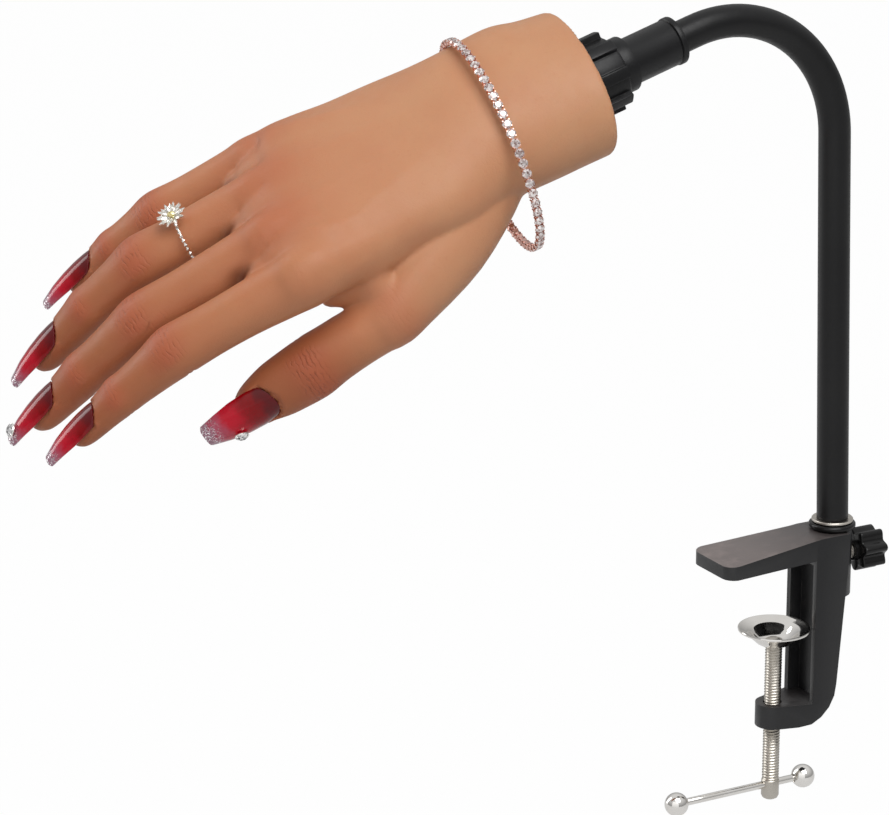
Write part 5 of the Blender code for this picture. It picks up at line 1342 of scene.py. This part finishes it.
def makeFoot():
    post = jointPoint("post_swivel") / mm
    spot = shift(post.x, 0, post.z)
    bm = bmesh.new()
    spun(bm, [(0, 2.3), (7.2, 2.3), (7.8, 1.8), (7.8, 0.8), (7.2, 0.3), (4.0, 0.3), (4.0, -20.2),
              (0, -20.2)], spot, 64)
    soften(bm, 0.2, 2)
    finishPiece("seatRing", bm, finishes["gloss"], "post", ["post_foot"])
    bm = bmesh.new()
    spun(bm, [(0, 3.5), (6.7, 3.5), (6.9, 3.3), (6.9, 2.8), (6.7, 2.6), (0, 2.6)], spot, 64)
    finishPiece("thinWasher", bm, finishes["screw"], "post", ["foot_washer"])


makeFoot()

# What stays from the frame: the armature inside the silicone
for name, item in frame["nodes"].items():
    if not item.hide_render:
        item.data.materials.clear()
        item.data.materials.append(finishes["steel"])
print("clamp made")


# Studio: a pale floor, a broad key light, a fill and an even surround

studio = {"floorDrop": 120.0, "floorSize": 6.0, "floorColour": (0.62, 0.62, 0.62),
          "surround": 0.28, "white": 0.985, "mirrored": 0.45, "mirroredSky": 0.75,
          "key": (13.0, (1.0, 1.0), (-0.02, -0.75, 1.10)), "fill": (8.0, (2.2, 2.2), (-1.1, -1.25, 0.25)),
          "strip": (5.6, (0.42, 1.3), (-0.72, 0.98, 0.42))}
camera = {"azimuth": -29.0, "elevation": 17.5, "distance": 1.2, "target": (-0.125353, 0.0, 0.071697),
          "lens": 156.75}


def makeFloor():
    bm = bmesh.new()
    bmesh.ops.create_grid(bm, x_segments=1, y_segments=1, size=studio["floorSize"] / 2,
                          matrix=Matrix.Translation((0, 0, cadBox[0].z - studio["floorDrop"] * mm)))
    mesh = bpy.data.meshes.new("studioFloor")
    bm.to_mesh(mesh)
    bm.free()
    material = bpy.data.materials.new("Pale floor")
    material.use_nodes = True
    tree = material.node_tree
    tree.nodes.clear()
    output = node(tree, "ShaderNodeOutputMaterial")
    plain = node(tree, "ShaderNodeBsdfDiffuse", {"Color": (*studio["floorColour"], 1)})
    glow = node(tree, "ShaderNodeEmission", {"Color": (1, 1, 1, 1), "Strength": 1.0})
    rays = node(tree, "ShaderNodeLightPath")
    seen = maths(tree, "MAXIMUM", rays.outputs["Is Camera Ray"], rays.outputs["Is Transmission Ray"])
    shown = maths(tree, "MULTIPLY", seen, studio["white"])
    mirrored = maths(tree, "MULTIPLY", rays.outputs["Is Glossy Ray"], studio["mirrored"])
    mixed = node(tree, "ShaderNodeMixShader", {"Fac": maths(tree, "MAXIMUM", shown, mirrored)})
    tree.links.new(plain.outputs[0], mixed.inputs[1])
    tree.links.new(glow.outputs[0], mixed.inputs[2])
    tree.links.new(mixed.outputs[0], output.inputs["Surface"])
    mesh.materials.append(material)
    floor = bpy.data.objects.new("studioFloor", mesh)
    bpy.context.scene.collection.objects.link(floor)


def makeLights():
    world = bpy.data.worlds.new("Studio")
    bpy.context.scene.world = world
    world.use_nodes = True
    tree = world.node_tree
    tree.nodes.clear()
    output = node(tree, "ShaderNodeOutputWorld")
    coords = node(tree, "ShaderNodeTexCoord")
    height = node(tree, "ShaderNodeSeparateXYZ", {"Vector": coords.outputs["Generated"]}).outputs["Z"]
    shade = span(tree, height, -0.15, 0.75, 0.28, 1.0)
    rays = node(tree, "ShaderNodeLightPath")
    strength = span(tree, rays.outputs["Is Glossy Ray"], 0.0, 1.0, studio["surround"], studio["mirroredSky"])
    lit = node(tree, "ShaderNodeBackground", {"Strength": maths(tree, "MULTIPLY", shade, strength)})
    white = node(tree, "ShaderNodeBackground", {"Color": (1, 1, 1, 1), "Strength": 1.0})
    mixed = node(tree, "ShaderNodeMixShader", {"Fac": rays.outputs["Is Camera Ray"]})
    lit.inputs["Color"].default_value = (1, 1, 1, 1)
    tree.links.new(lit.outputs[0], mixed.inputs[1])
    tree.links.new(white.outputs[0], mixed.inputs[2])
    tree.links.new(mixed.outputs[0], output.inputs["Surface"])
    target = Vector(camera["target"])
    for name in ("key", "fill", "strip"):
        power, size, place = studio[name]
        lamp = bpy.data.lights.new(name, "AREA")
        lamp.energy = power
        lamp.shape = "RECTANGLE"
        lamp.size, lamp.size_y = size
        item = bpy.data.objects.new(name, lamp)
        item.location = Vector(place) + target
        item.rotation_euler = (target - item.location).to_track_quat("-Z", "Y").to_euler()
        bpy.context.scene.collection.objects.link(item)


def makeCamera():
    data = bpy.data.cameras.new("Photo view")
    data.lens = camera["lens"]
    data.sensor_width = 36.0
    data.clip_start = 0.05
    data.clip_end = 20.0
    item = bpy.data.objects.new("Photo view", data)
    bpy.context.scene.collection.objects.link(item)
    a, e = math.radians(camera["azimuth"]), math.radians(camera["elevation"])
    back = Vector((math.sin(a) * math.cos(e), -math.cos(a) * math.cos(e), math.sin(e)))
    item.location = Vector(camera["target"]) + back * camera["distance"]
    item.rotation_euler = (-back).to_track_quat("-Z", "Y").to_euler()
    bpy.context.scene.camera = item


makeFloor()
makeLights()
makeCamera()
bpy.context.scene.view_settings.view_transform = "Standard"
print("studio made")

bpy.context.view_layer.update()
